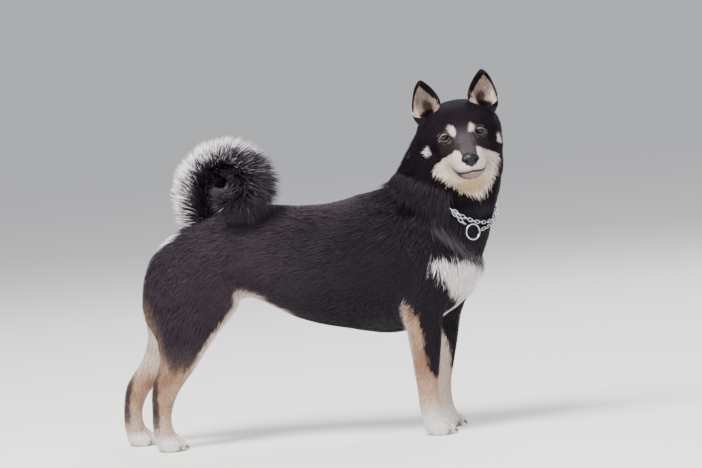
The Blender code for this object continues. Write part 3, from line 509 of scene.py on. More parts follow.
places = places_of(hide.data)
depth = coat_at(places)[2]
relax(hide.data, 0.2, 2)
places = places_of(hide.data) - normals_of(hide.data) * depth[:, None]
places[:, 2] = np.maximum(places[:, 2] - 0.0012 * (places[:, 2] < 0.02), 0.0)
move_to(hide.data, places)
relax(hide.data, np.where(places[:, 2] < 0.001, 0.0, np.where(depth < 0.003, 0.1, 0.4)), 6)


class Skin:
    """The triangles of a surface, with what is needed to draw roots from it."""

    def __init__(self, mesh):
        mesh.calc_loop_triangles()
        corners = np.empty(len(mesh.loop_triangles) * 3, np.int32)
        mesh.loop_triangles.foreach_get("vertices", corners)
        self.corners = corners.reshape(-1, 3)
        self.places, self.normals = places_of(mesh), normals_of(mesh)
        a, b, c = (self.places[self.corners[:, k]] for k in range(3))
        self.areas = np.linalg.norm(np.cross(b - a, c - a), axis=1) / 2
        self.middles = (a + b + c) / 3

    def roots(self, expected, draw):
        """Roots spread evenly, by the number that each triangle should carry."""
        total = np.cumsum(expected)
        count = int(total[-1])
        at = (np.arange(count) + draw.uniform(0, 1, count)) * (total[-1] / count)
        which = np.minimum(np.searchsorted(total, at), len(total) - 1)
        r, s = np.sqrt(draw.uniform(0, 1, count)), draw.uniform(0, 1, count)
        shares = np.stack([1 - r, r * (1 - s), r * s], axis=1)[:, :, None]
        spots = (self.places[self.corners[which]] * shares).sum(1)
        ups = (self.normals[self.corners[which]] * shares).sum(1)
        return spots, ups / np.linalg.norm(ups, axis=1, keepdims=True)


ground = BVHTree.FromPolygons(places_of(hide.data).tolist(), [tuple(f.vertices) for f in hide.data.polygons])
bare = Skin(hide.data)


# The markings
# Black above with a blue sheen on head and back and brown in it behind, cream on muzzle, cheeks, throat,
# chest, belly, inside the legs and under the tail, and tan between the two on the legs. The black is painted
# lighter and more violet on the top of the back and behind, partly a painted sheen, and the lower trunk is
# painted darker as painted shade; painted shade also lies between the toes, along the chin and at the mouth's corners.
BLACK = (0.0095, 0.0063, 0.0098)
# partly a painted sheen: a lighter, more violet black for the top of the back and the rump and thighs, where the hair
# is also browner
BROWN_BLACK_AND_SHEEN = (0.0285, 0.0193, 0.0265)
GREY = (0.150, 0.125, 0.140)
BRIDGE = (0.086, 0.070, 0.084)
TAN = (0.335, 0.190, 0.112)
LIGHT_TAN = (0.550, 0.365, 0.250)
CREAM = (0.740, 0.610, 0.520)
WHITE = (0.900, 0.840, 0.815)
YELLOW_TAN = (0.560, 0.370, 0.170)


def ripples(points, size, seed):
    """Soft random waves of one size through space, from -1 to 1."""
    spots = points / size + 500.0
    cell = np.floor(spots).astype(np.int64)
    part = spots - cell
    part = part * part * (3 - 2 * part)
    total = np.zeros(len(points))
    for corner in range(8):
        step = np.array([corner & 1, corner >> 1 & 1, corner >> 2 & 1])
        at = cell + step
        mixed = at[:, 0] * 73856093 ^ at[:, 1] * 19349663 ^ at[:, 2] * 83492791 ^ seed * 2654435
        mixed = (mixed & 0xFFFFFF) * 48271 & 0x7FFFFFFF
        mixed = (mixed >> 5 ^ mixed) * 69621 & 0x7FFFFFFF
        value = (mixed >> 8 & 0xFFFF) / 32767.5 - 1
        total += value * np.prod(np.where(step, part, 1 - part), axis=1)
    return total


def inside(distance, soft):
    """1 inside a boundary and 0 outside it, with a soft edge; the distance is negative inside."""
    t = np.clip(0.5 - np.asarray(distance) / (2 * soft), 0, 1)
    return t * t * (3 - 2 * t)


def blob(points, middle, sizes):
    """Distance outside an oval, in units near metres, negative inside."""
    part = np.linalg.norm((points - np.array(middle)) / np.array(sizes), axis=1)
    return (part - 1) * min(sizes)


def blend(under, over, share):
    return under + (np.array(over) - under) * np.reshape(share, (-1, 1))


def markings(points):
    """The coat's colour at each point of the dog's skin."""
    p = points - np.array(DOG_PLACE)
    x, y, z = p.T
    side = np.where(y > 0, 1.0, -1.0)
    a = abs(y)
    rough = 0.0022 * ripples(points, 0.007, 1) + 0.0016 * ripples(points, 0.0032, 2)
    wide = 0.005 * ripples(points, 0.03, 3)
    # lighter violet-brown black on the top of the back and behind: a browner tone behind, and a painted sheen where
    # light from above falls on back, rump and thighs
    browner_and_sheen = np.maximum(inside(x + 0.02 + wide * 4, 0.09), inside(0.345 - z, 0.03) * inside(x - 0.09, 0.04))
    colour = np.array(BLACK) + (np.array(BROWN_BLACK_AND_SHEEN) - np.array(BLACK)) * browner_and_sheen[:, None]
    colour = colour * (1 + 0.22 * ripples(points, 0.02, 4) + 0.15 * ripples(points, 0.006, 5))[:, None]
    # painted shade: the lower middle of the trunk is painted darker, where the body shades itself
    colour = colour * (1 - 0.45 * inside(z - 0.225, 0.03) * inside(abs(x - 0.03) - 0.10, 0.04))[:, None]
    # painted sheen: the top of the back behind the withers is painted lighter, as if lit from above
    colour = colour * (1 + 0.5 * inside(0.352 - z, 0.012) * inside(x - 0.10, 0.03))[:, None]

    # lighter hair along the edge of the ruff, painted lighter and violet partly as a painted sheen where the raised
    # edge catches the light
    run = np.clip(((x - 0.205) * 0.057 + (z - 0.325) * -0.063) / (0.057**2 + 0.063**2), 0, 1)
    off = np.hypot(x - 0.205 - 0.057 * run, z - 0.325 + 0.063 * run)
    ruff_edge_hair_and_sheen = inside(off - 0.005 + rough, 0.006) * (a > 0.012) * (0.55 + 0.45 * run)
    colour = blend(colour, (0.085, 0.070, 0.078), ruff_edge_hair_and_sheen * 0.75)

    # chest
    reach = np.interp(z, [0.190, 0.200, 0.212, 0.230, 0.246, 0.262], [0.010, 0.020, 0.050, 0.070, 0.078, 0.081])
    chest = inside(np.maximum(a - reach, z - 0.262 + 0.10 * np.clip(0.05 - a, 0, 1)) + rough + wide * 0.5, 0.003)
    chest = chest * inside(0.195 - x + rough, 0.004) * (z > 0.18)
    chest = chest * inside(z - 0.270, 0.003)
    colour = blend(colour, (0.90, 0.83, 0.81), chest)
    brisket = inside(a - 0.017 + rough, 0.004) * inside(0.150 - x, 0.02) * inside(z - 0.215, 0.006)
    colour = blend(colour, CREAM, brisket)

    # belly and groin
    belly = inside(a - 0.030 + rough, 0.005) * inside(x + 0.035, 0.012) * inside(z - 0.226, 0.008)
    colour = blend(colour, CREAM, belly * 0.92)

    # rump and between the thighs
    rump = inside(a - np.interp(z, [0.16, 0.24, 0.292, 0.306, 0.345], [0.030, 0.012, 0.018, 0.044, 0.046]) + rough, 0.004)
    rump = rump * inside(x + 0.207, 0.008) * inside(z - 0.350, 0.004)
    colour = blend(colour, (0.93, 0.90, 0.90), rump)

    # front legs
    fx = x - np.where(side > 0, 0.003 + 0.085 * z, 0.0)
    front = (fx > 0.1) & (z < 0.235) & (a > 0.018)
    elbow = inside(np.interp(z, [0.140, 0.155, 0.194, 0.222], [0.110, 0.1435, 0.1440, 0.150]) - fx + rough, 0.003)
    inner = inside(a - 0.047 + rough, 0.006)
    edge_out = np.interp(
        z, [0.080, 0.086, 0.101, 0.117, 0.148, 0.180, 0.200, 0.212, 0.222], [0.22, 0.189, 0.183, 0.179, 0.176, 0.169, 0.158, 0.144, 0.10]
    )
    edge_in = np.interp(z, [0.080, 0.092, 0.120, 0.145, 0.165, 0.185, 0.215], [0.22, 0.195, 0.190, 0.184, 0.172, 0.150, 0.10])
    edge = edge_out + (edge_in - edge_out) * inner
    streaks = ripples(points * [1, 1, 0.3], 0.0022, 13)
    pale = inside(fx - edge + 0.0025 + rough * 1.4 + 0.0035 * streaks, 0.0045)
    leg = blend(np.tile(np.array(TAN), (len(p), 1)), LIGHT_TAN, np.clip(0.5 + 0.6 * ripples(points, 0.018, 6), 0, 1))
    leg = blend(leg, LIGHT_TAN, inside(z - 0.085, 0.03))
    leg = blend(leg, CREAM, inside(fx - np.interp(z, [0.03, 0.10, 0.20], [0.160, 0.157, 0.150]), 0.004) * 0.8)
    leg = blend(leg, CREAM, inner * 0.85)
    leg = blend(leg, (0.060, 0.040, 0.034), inside(0.185 - z + wide, 0.020) * np.clip(0.45 + 0.9 * streaks, 0, 0.8))
    leg = blend(leg, CREAM, inside(z - 0.052 + wide, 0.014))
    leg = blend(leg, WHITE, inside(z - 0.030 + wide, 0.010))
    colour = blend(colour, leg, pale * front * elbow * inside(z - 0.216 + rough * 2, 0.007))

    # hind legs
    hind = (x < -0.07) & (z < 0.285) & (a > 0.004)
    t = np.clip((0.300 - z) / 0.250, 0, 1)
    hx = x - np.where(side > 0, -0.068 * t * t * (3 - 2 * t), 0.0)
    table = np.array(HIND_LEG)[::-1]
    nose_edge = np.interp(z, table[:, 0], table[:, 2])
    inner = inside(a - np.interp(z, [0.0, 0.12, 0.20, 0.28], [0.054, 0.052, 0.046, 0.030]) + rough, 0.006)
    floor = np.interp(
        hx, [-0.255, -0.243, -0.236, -0.231, -0.226, -0.2215, -0.216, -0.190, -0.160], [0.238, 0.222, 0.190, 0.168, 0.140, 0.128, 0.122, 0.121, 0.128]
    )
    streaks = ripples(points * [1, 1, 0.35], 0.003, 12)
    black = inside(floor - z + rough * 2.6 + 0.009 * streaks, 0.014)
    fore = inside(nose_edge - 0.0095 - hx + rough, 0.0035) * inside(hx - nose_edge - 0.010, 0.004) * inside(z - 0.240, 0.008)
    leg = blend(np.tile(np.array(TAN), (len(p), 1)), LIGHT_TAN, np.clip(0.4 + 0.8 * ripples(points, 0.016, 7), 0, 1))
    leg = blend(leg, (0.070, 0.046, 0.040), inside(0.140 - z, 0.022) * np.clip(0.75 + 0.6 * streaks, 0, 0.95))
    back = inside(hx + 0.2440 + rough, 0.0035) * inside(z - 0.125, 0.010) * inside(0.033 - z, 0.008)
    leg = blend(leg, (0.030, 0.024, 0.030), back * 0.9)
    leg = blend(leg, (0.06, 0.045, 0.042), inside(blob(p * [1, 0, 1], (-0.244, 0, 0.122), (0.007, 1, 0.007)), 0.003) * 0.5)
    leg = blend(leg, CREAM, np.maximum(inner * inside(0.115 - z, 0.02), 0))
    leg = blend(leg, LIGHT_TAN, inside(z - 0.075, 0.03) * (1 - back) * 0.7)
    leg = blend(leg, CREAM, fore * inside(0.13 - z, 0.02))
    leg = blend(leg, (0.66, 0.50, 0.42), inside(z - 0.048 + wide, 0.014) * (1 - back * 0.7) * 0.7)
    leg = blend(leg, WHITE, inside(z - 0.020 + wide, 0.007))
    dusk = inside(floor + 0.026 - z + rough * 3, 0.026) * (hx < nose_edge - 0.012)
    colour = blend(colour, (0.075, 0.055, 0.052), hind * (1 - dusk) * inside(z - 0.21, 0.03) * 0.75)
    cover = np.clip(1 - black + fore + inner * inside(z - 0.250, 0.02), 0, 1)
    colour = blend(colour, leg, cover * hind * inside(z - 0.285, 0.015))

    # painted shade in the gaps between the toes
    for kind, where in PAW_SPOTS.items():
        step = np.where(side > 0, float(STEPS[kind](1, 0.0)), 0.0)
        ahead = x - where[0] - step
        gap = np.min(abs((y - side * where[1])[:, None] - np.array([-0.0101, 0.0, 0.0101])), axis=1)
        crease = inside(gap - 0.0006, 0.0012) * (abs(ahead - 0.004) < 0.022) * inside(0.002 - ahead, 0.004) * inside(z - 0.022, 0.005)
        colour = blend(colour, (0.25, 0.19, 0.16), crease * 0.75)

    # head
    h = in_frame(FACE, points) * 1000
    u, v, w = h.T
    askew = abs(v - 10 * np.clip((-58 - w) / 35, 0, 1))
    v = abs(v)
    ruffle = 1.6 * ripples(points, 0.006, 8) + 1.1 * ripples(points, 0.0028, 9)
    onhead = (u > -62) & (w > -125)
    top = np.interp(v, [0, 8, 11, 14, 18, 30, 42, 50, 60], [-36, -36, -24, -15, -15.5, -26, -36, -43, -52])
    low = np.interp(askew, [0, 10, 26, 41, 50, 57], [-102, -98, -84, -69, -56, -44])
    cream = inside(np.maximum(w - top, low - w) + ruffle, 1.6) * inside(-58 - u, 3) * onhead
    bridge = inside(v - 11 + ruffle * 0.8, 4) * inside(-24 - w, 3) * inside(8 - u, 12)
    colour = blend(colour, BRIDGE, bridge * 0.85)
    rim = inside(abs(v - 15) - 3.5 + ruffle * 1.5, 5) * inside(abs(w + 15) - 11, 8) * inside(-4 - u, 4)
    colour = blend(colour, (0.13, 0.090, 0.080), rim * 0.35)
    under = inside(np.maximum(abs(v - 27) - 11, abs(w + 17) - 9) + ruffle, 3) * (u > -25)
    colour = blend(colour, (0.028, 0.020, 0.020), under * 0.7)
    colour = blend(colour, CREAM, cream)
    near = inside(np.hypot(v - 14, (w + 33) * 0.8) - 13 + ruffle, 6) * (u > 20)
    muzzle_white = np.array((0.70, 0.63, 0.63)) * (1 + 0.10 * ripples(points, 0.0025, 14) + 0.08 * ripples(points, 0.006, 15))[:, None]
    colour = blend(colour, muzzle_white, cream * near * 0.85)
    dusty = inside(abs(w - top - 3) - 3 + ruffle * 1.5, 3) * (v > 12)
    colour = blend(colour, (0.50, 0.36, 0.26), cream * dusty * 0.5)
    fold = inside(np.hypot((v - 30) / 1.2, (w + 43 + (v - 30) * 0.4) / 0.9) - 5 + ruffle * 1.5, 4) * (u > -5)
    colour = blend(colour, (0.52, 0.38, 0.28), cream * fold * 0.6)
    warm = inside(np.hypot(v * 0.8, (w + 75) * 1.5) - 20 + ruffle * 2, 7) * (u > -40)
    colour = blend(colour, YELLOW_TAN, cream * warm * 0.8)
    lower_lip = np.hypot(v / 21, (w + 46) / 14.0)
    jaw = inside((lower_lip - 1) * 12 + ruffle * 0.5, 2.5) * inside(w + 47.5, 1.5) * (u > 10)
    colour = blend(colour, (0.22, 0.17, 0.175), cream * jaw * 0.85)
    # painted shadow: a dark line along the lower edge of the jaw, where its underside turns away from the light
    chin_shadow_line = inside(abs(lower_lip - 1) * 13 - 1.4 + ruffle * 0.3, 1.0) * (w < -46) * (u > 0)
    colour = blend(colour, (0.050, 0.036, 0.038), cream * chin_shadow_line * 0.95)
    groove = inside(v - 0.5, 0.7) * (w < -33) * (w > -46) * (u > 50)
    colour = blend(colour, (0.10, 0.08, 0.085), groove * 0.7)
    whisker = inside(abs((w + 37) % 4.6 - 2.3) - 0.25, 0.5) * inside(abs(v - 17) - 7, 2) * (u > 38) * (w > -44) * (w < -30)
    colour = blend(colour, (0.42, 0.36, 0.36), cream * whisker * np.clip(0.5 + ripples(points, 0.0022, 11), 0, 1) * 0.5)
    # painted shade in the creases at the corners of the mouth
    mouth_corner_shade = inside(abs(w - 1000 * MOUTH_HEIGHT - 1.0) - 1.6, 1.6) * inside(v - 24, 4) * (u > 15)
    colour = blend(colour, (0.16, 0.12, 0.11), cream * mouth_corner_shade * 0.5)
    blaze = inside(np.hypot((v - 57.0 + 0.12 * (w + 20)) / 3.3, (w + 20) / 8.4) * 7 - 7 + ruffle * 1.2, 2.6) * (u > -55)
    colour = blend(colour, (0.80, 0.72, 0.68), blaze)
    brow = inside(np.hypot((v - 15.4 - 0.20 * (w - 8)) / 4.8, (w - 9) / 6.2) * 5.5 - 5.3 + ruffle * 1.5, 3.0) * (u > -22)
    tail = inside(np.hypot((v - 13.6) / 2.6, (w + 2) / 5.0) * 3 - 3 + ruffle * 0.8, 1.6) * (u > -20)
    colour = blend(colour, (0.18, 0.13, 0.11), tail * 0.20)
    colour = blend(colour, (0.70, 0.56, 0.46), brow * np.clip(0.88 + 0.3 * ripples(points, 0.0028, 16), 0, 1))
    round_eye = np.hypot(v - 1000 * OPENING_MIDDLE, (w - 0.5 + 0.2 * (v - 1000 * OPENING_MIDDLE)) * 1.15)
    circle = inside(abs(round_eye - 10.2) - 0.5, 0.6) * (u > -25) * np.clip(0.30 + 0.95 * ripples(points, 0.004, 10), 0, 1)
    colour = blend(colour, (0.24, 0.20, 0.23), circle * 0.75)
    colour = blend(colour, (0.020, 0.014, 0.018), inside(round_eye - 8.8, 0.8) * (u > -25))
    return np.clip(colour, 0.004, 0.95)


# Hide as it shows
# Grey-brown hide with the coat's own colours in its close undercoat, dark and bare on the soles. The lids
# and the mouth are cut in it, and it carries the fine hair that is too short to stand in tufts.
def noise_node(tree, vector, scale, detail=3.0, rough=0.55):
    made = tree.nodes.new("ShaderNodeTexNoise")
    made.inputs["Scale"].default_value = scale
    made.inputs["Detail"].default_value = detail
    made.inputs["Roughness"].default_value = rough
    tree.links.new(vector, made.inputs["Vector"])
    return made.outputs["Fac"]


def ranged(tree, value, low, high):
    """A 0 to 1 value stretched between two others."""
    made = tree.nodes.new("ShaderNodeMapRange")
    made.inputs["To Min"].default_value = low
    made.inputs["To Max"].default_value = high
    tree.links.new(value, made.inputs["Value"])
    return made.outputs["Result"]


def tinted(tree, colour, value):
    """A colour made lighter or darker by a value."""
    made = tree.nodes.new("ShaderNodeVectorMath")
    made.operation = "SCALE"
    tree.links.new(colour, made.inputs[0])
    tree.links.new(value, made.inputs["Scale"])
    return made.outputs["Vector"]


def bumped(tree, shader, value, strength, distance):
    made = tree.nodes.new("ShaderNodeBump")
    made.inputs["Strength"].default_value = strength
    made.inputs["Distance"].default_value = distance
    tree.links.new(value, made.inputs["Height"])
    tree.links.new(made.outputs["Normal"], shader.inputs["Normal"])


def new_finish(name, roughness):
    made = bpy.data.materials.new(name)
    made.use_nodes = True
    shader = made.node_tree.nodes["Principled BSDF"]
    shader.inputs["Roughness"].default_value = roughness
    return made, made.node_tree, shader


def in_place(tree):
    return tree.nodes.new("ShaderNodeTexCoord").outputs["Object"]


def stained(tree):
    """The coat's colour that the mesh carries."""
    made = tree.nodes.new("ShaderNodeAttribute")
    made.attribute_name = "coat_colour"
    return made.outputs["Color"]


def hide_finish():
    made, tree, shader = new_finish("hide", 0.62)
    fine = noise_node(tree, in_place(tree), 1400.0, 2.0)
    patch = noise_node(tree, in_place(tree), 160.0)
    both = tree.nodes.new("ShaderNodeMath")
    both.operation = "MULTIPLY"
    tree.links.new(ranged(tree, fine, 0.70, 1.25), both.inputs[0])
    tree.links.new(ranged(tree, patch, 0.80, 1.15), both.inputs[1])
    tree.links.new(tinted(tree, stained(tree), both.outputs["Value"]), shader.inputs["Base Color"])
    tree.links.new(ranged(tree, patch, 0.50, 0.75), shader.inputs["Roughness"])
    shader.inputs["Specular IOR Level"].default_value = 0.15
    bumped(tree, shader, fine, 0.5, 0.0006)
    return made


def colour_points(mesh, colours):
    layer = mesh.color_attributes.new("coat_colour", "FLOAT_COLOR", "POINT")
    layer.data.foreach_set("color", np.column_stack([colours, np.ones(len(colours))]).astype(np.float32).ravel())


EYE_OPENING = (0.0078, 0.0054)
LID_SLANT = math.radians(14.0)
EYE_TURN = math.radians(8.0)
MOUTH_HEIGHT = -0.0450


def eye_frame(side):
    return FACE @ Matrix.Translation((EYE_SPOT[0], side * EYE_SPOT[1], EYE_SPOT[2]))


def opening_frame(side):
    return eye_frame(side) @ Matrix.Rotation(side * EYE_TURN, 4, "Z") @ Matrix.Rotation(-side * LID_SLANT, 4, "X")


OPENING_MIDDLE = EYE_SPOT[1] + 0.0108 * math.sin(EYE_TURN)


def almond(turn, share):
    wide = math.cos(turn) * EYE_OPENING[0] * share
    return wide, math.sin(turn) * EYE_OPENING[1] * share * (1 - 0.35 * math.cos(turn) ** 2)


def mouth_row(count):
    """Places along the lips from corner to corner, with the way out from the muzzle."""
    found = []
    for k in range(count + 1):
        turn = math.radians(-112 + 224 * k / count)
        lift = 0.0050 * (abs(turn) / math.radians(112)) ** 2 - 0.0030 * math.sin(min(abs(turn) * 1.6, math.pi))
        start = FACE @ Vector((0.0300, 0, MOUTH_HEIGHT + lift))
        way = (FACE.to_3x3() @ Vector((math.cos(turn), math.sin(turn), 0))).normalized()
        found.append((ground.ray_cast(start, way)[0], way))
    return found


for side in (-1, 1):
    cut_with(hide, piece("socket", *ball(eye_frame(side), (EYEBALL + 0.0002,) * 3, 40, 24)))
    rings = []
    for reach, share in ((0.0030, 0.80), (0.0300, 1.45)):
        ring_points = []
        for k in range(36):
            wide, high = almond(2 * math.pi * k / 36, share)
            ring_points.append(opening_frame(side) @ Vector((reach, wide, high)))
        rings.append(ring_points)
    cut_with(hide, piece("opening", *closed_tube(rings)))
rings = []
up_face = FACE.to_3x3() @ Z
for k, (spot, way) in enumerate(mouth_row(48)):
    share = min(1.0, 0.3 + 0.35 * min(k, 48 - k))
    rings.append(ring(spot, way, up_face, 0.0026 * share, 0.0009 * share, 2.0, 8))
cut_with(hide, piece("mouth", *closed_tube(rings)))
colours = markings(places_of(hide.data))
low = places_of(hide.data)[:, 2]
colours = blend(colours, (0.030, 0.024, 0.024), inside(low - 0.0018, 0.0008))
colour_points(hide.data, colours)
hide.data.materials.clear()
hide.data.materials.append(hide_finish())
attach(hide, "root")
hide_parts("torso", "neck", "head", "leg_front_left", "leg_front_right", "leg_hind_left", "leg_hind_right")


# The short coat
# Harsh, straight outer hair in flat tapered tufts that overlap like thatch along the lie. Each grows from
# the hide, hugs it as it runs back, and takes its colour from the spot where it is rooted.
HAIR_SEED = 20
TUFT_DENSITY = {"trunk": 2.7, "neck": 3.9, "head": 2.8, "leg": 1.6}
TUFT_SLIMNESS = {"trunk": 0.032, "neck": 0.032, "head": 0.042, "leg": 0.045}


def coat_finish(name, roughness, sheen, gloss):
    made, tree, shader = new_finish(name, roughness)
    strands = tree.nodes.new("ShaderNodeUVMap")
    strands.uv_map = "strands"
    stretch = tree.nodes.new("ShaderNodeMapping")
    stretch.inputs["Scale"].default_value = (5.0, 0.9, 1.0)
    tree.links.new(strands.outputs["UV"], stretch.inputs["Vector"])
    fibre = noise_node(tree, stretch.outputs["Vector"], 1.6, 2.0)
    apart = tree.nodes.new("ShaderNodeSeparateXYZ")
    tree.links.new(strands.outputs["UV"], apart.inputs["Vector"])
    depth_shade = tree.nodes.new("ShaderNodeMapRange")
    depth_shade.inputs["From Max"].default_value = 0.45
    depth_shade.inputs["To Min"].default_value = 0.55
    tree.links.new(apart.outputs["Y"], depth_shade.inputs["Value"])
    both = tree.nodes.new("ShaderNodeMath")
    both.operation = "MULTIPLY"
    tree.links.new(ranged(tree, fibre, 0.62, 1.38), both.inputs[0])
    tree.links.new(depth_shade.outputs["Result"], both.inputs[1])
    tree.links.new(tinted(tree, stained(tree), both.outputs["Value"]), shader.inputs["Base Color"])
    tree.links.new(ranged(tree, fibre, roughness - 0.08, roughness + 0.12), shader.inputs["Roughness"])
    shader.inputs["Specular IOR Level"].default_value = gloss
    shader.inputs["Sheen Weight"].default_value = sheen
    shader.inputs["Sheen Roughness"].default_value = 0.35
    shader.inputs["Sheen Tint"].default_value = (0.70, 0.55, 0.95, 1)
    bumped(tree, shader, fibre, 0.35, 0.0003)
    return made


def fast_mesh(name, points, triangles):
    mesh = bpy.data.meshes.new(name)
    mesh.vertices.add(len(points))
    mesh.vertices.foreach_set("co", points.astype(np.float32).ravel())
    mesh.loops.add(len(triangles) * 3)
    mesh.loops.foreach_set("vertex_index", triangles.astype(np.int32).ravel())
    mesh.polygons.add(len(triangles))
    mesh.polygons.foreach_set("loop_start", np.arange(0, len(triangles) * 3, 3, dtype=np.int32))
    mesh.update(calc_edges=True)
    mesh.shade_smooth()
    return mesh


def tuft_faces(rings):
    """Triangles of one closed tuft: a point at the root, rings of three, and a point at the tip."""
    faces = [(0, 1 + (k + 1) % 3, 1 + k) for k in range(3)]
    for r in range(rings - 1):
        for k in range(3):
            a, b = 1 + 3 * r + k, 1 + 3 * r + (k + 1) % 3
            faces += [(a, b, b + 3), (a, b + 3, a + 3)]
    last = 1 + 3 * (rings - 1)
    return np.array(faces + [(last + k, last + (k + 1) % 3, 3 * rings + 1) for k in range(3)])


RING_PLACES = {1: ((0.36, 1.0),), 2: ((0.22, 1.0), (0.60, 0.80)), 3: ((0.15, 0.85), (0.42, 1.0), (0.72, 0.66))}


def tuft_piece(name, paths, sides, ups, widths, root_colours, tip_colours, chart, finish, flat=0.26, fade=(0, 1)):
    """One mesh of tufts. A path is the root, one point for each ring, and the tip."""
    count, rings = len(paths[0]), len(paths) - 2
    draw = np.random.default_rng(HAIR_SEED + count)
    points = np.empty((count, 3 * rings + 2, 3))
    along = np.empty(3 * rings + 2)
    across = np.empty(3 * rings + 2)
    points[:, 0], points[:, -1] = paths[0], paths[-1]
    along[0], along[-1], across[0], across[-1] = 0.0, 1.0, 0.5, 0.5
    for r, (place, share) in enumerate(RING_PLACES[rings]):
        half = sides[r] * (widths * share / 2)[:, None]
        thick = ups[r] * (widths * share * flat)[:, None]
        points[:, 1 + 3 * r] = paths[r + 1] + half - thick * 0.35
        points[:, 2 + 3 * r] = paths[r + 1] + thick * 0.65
        points[:, 3 + 3 * r] = paths[r + 1] - half - thick * 0.35
        along[1 + 3 * r : 4 + 3 * r] = place
        across[1 + 3 * r : 4 + 3 * r] = (0.0, 0.5, 1.0)
    faces = tuft_faces(rings)
    one = points[0]
    middle = one.mean(0)
    volume = sum(np.dot(one[a] - middle, np.cross(one[b] - middle, one[c] - middle)) for a, b, c in faces)
    if volume < 0:
        faces = faces[:, ::-1]
    every = (faces[None] + np.arange(count)[:, None, None] * (3 * rings + 2)).reshape(-1, 3)
    mesh = fast_mesh(name, points.reshape(-1, 3), every)
    mix = np.clip((along - fade[0]) / (fade[1] - fade[0]), 0, 1)[None, :, None]
    colours = root_colours[:, None] * (1 - mix) + tip_colours[:, None] * mix
    colour_points(mesh, colours.reshape(-1, 3))
    loops = every.ravel()
    patch = np.stack([across - 0.5, along - 0.5], axis=1)[None] * 0.003
    bake = (chart[:, None] + patch).reshape(-1, 2)
    layer = mesh.uv_layers.new(name="OFBake")
    layer.data.foreach_set("uv", bake[loops].astype(np.float32).ravel())
    strand = np.stack([across[None] + draw.integers(0, 400, count)[:, None], np.tile(along, (count, 1))], axis=2)
    layer = mesh.uv_layers.new(name="strands")
    layer.data.foreach_set("uv", strand.reshape(-1, 2)[loops].astype(np.float32).ravel())
    made = bpy.data.objects.new(name, mesh)
    bpy.context.scene.collection.objects.link(made)
    mesh.materials.append(finish)
    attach(made, "root")
    return made


def onto(tree, points):
    """The nearest places of a surface, and the ways out from it there."""
    spots, ups = np.empty_like(points), np.empty_like(points)
    for i, point in enumerate(points):
        spot, up, _, _ = tree.find_nearest(Vector(point))
        spots[i], ups[i] = spot, up
    return spots, ups


def box_chart(points, ups):
    """Places of points on an unwrap by the six ways that a surface can face."""
    low, high = points.min(0), points.max(0)
    unit = np.clip((points - low) / (high - low + 1e-9), 0, 1)
    axis = abs(ups).argmax(1)
    sign = (ups[np.arange(len(ups)), axis] > 0).astype(int)
    across = np.where(axis == 0, unit[:, 1], unit[:, 0])
    upward = np.where(axis == 2, unit[:, 1], unit[:, 2])
    return np.stack([(axis + 0.02 + 0.96 * across) / 3, (sign + 0.02 + 0.96 * upward) / 2], axis=1)


def lay_tufts(tree, roots, ups, ways, lengths, depths, rings, sink=0.0008, rise=(0.50, 0.86, 1.0)):
    """Paths that hug a surface, rising from the root to the coat's depth at the tip."""
    stops = [place for place, _ in RING_PLACES[rings]] + [1.0]
    heights = np.interp(stops, [0.0, 0.3, 0.65, 1.0], [0.0, *rise])
    paths, sides, tops = [roots - ups * sink], [], []
    spot, up, way, before = roots, ups, flattened(ways, ups), 0.0
    for stop, high in zip(stops, heights):
        spot, up = onto(tree, spot + way * (lengths * (stop - before))[:, None])
        way = flattened(way, up)
        paths.append(spot + up * (depths * high)[:, None])
        sides.append(np.cross(up, way))
        tops.append(up)
        before = stop
    return paths, sides[:-1], tops[:-1]


def turned(ways, ups, angles):
    """Ways turned about the way out from the skin."""
    c, s = np.cos(angles)[:, None], np.sin(angles)[:, None]
    return ways * c + np.cross(ups, ways) * s



draw = np.random.default_rng(HAIR_SEED)
near_dog = bare.middles - np.array(DOG_PLACE)
in_face = in_frame(FACE, bare.middles)
is_head = (near_dog - np.array([0.235, -0.02, 0.396])) @ np.array([0.0, -0.29, 0.957]) > 0
is_head |= (in_face[:, 0] > -0.02) & (in_face[:, 2] > -0.10)
is_neck = ((near_dog - np.array([0.189, 0.0, 0.309])) @ np.array([0.7071, 0.0, 0.7071]) > 0) & ~is_head
is_leg = (near_dog[:, 2] < np.where(near_dog[:, 0] > 0, 0.205, 0.235)) & (abs(near_dog[:, 0] - 0.005) > 0.100)
is_leg &= (near_dog[:, 0] < 0) | (near_dog[:, 2] < 0.160) | (abs(near_dog[:, 1]) > 0.028)
is_leg &= (near_dog[:, 0] > 0) | (near_dog[:, 0] < -0.125) | (near_dog[:, 2] < 0.150)
is_leg &= ~is_neck & ~is_head


def over_eye(spots, side):
    """Below 1 where a place of the face frame lies over an eye's opening."""
    across = spots[:, 1] * side - OPENING_MIDDLE
    up = spots[:, 2] - EYE_SPOT[2] + 0.25 * across
    return np.where(spots[:, 0] > EYE_SPOT[0] - 0.004, np.hypot(across / 0.0088, up / 0.0064), 2.0)


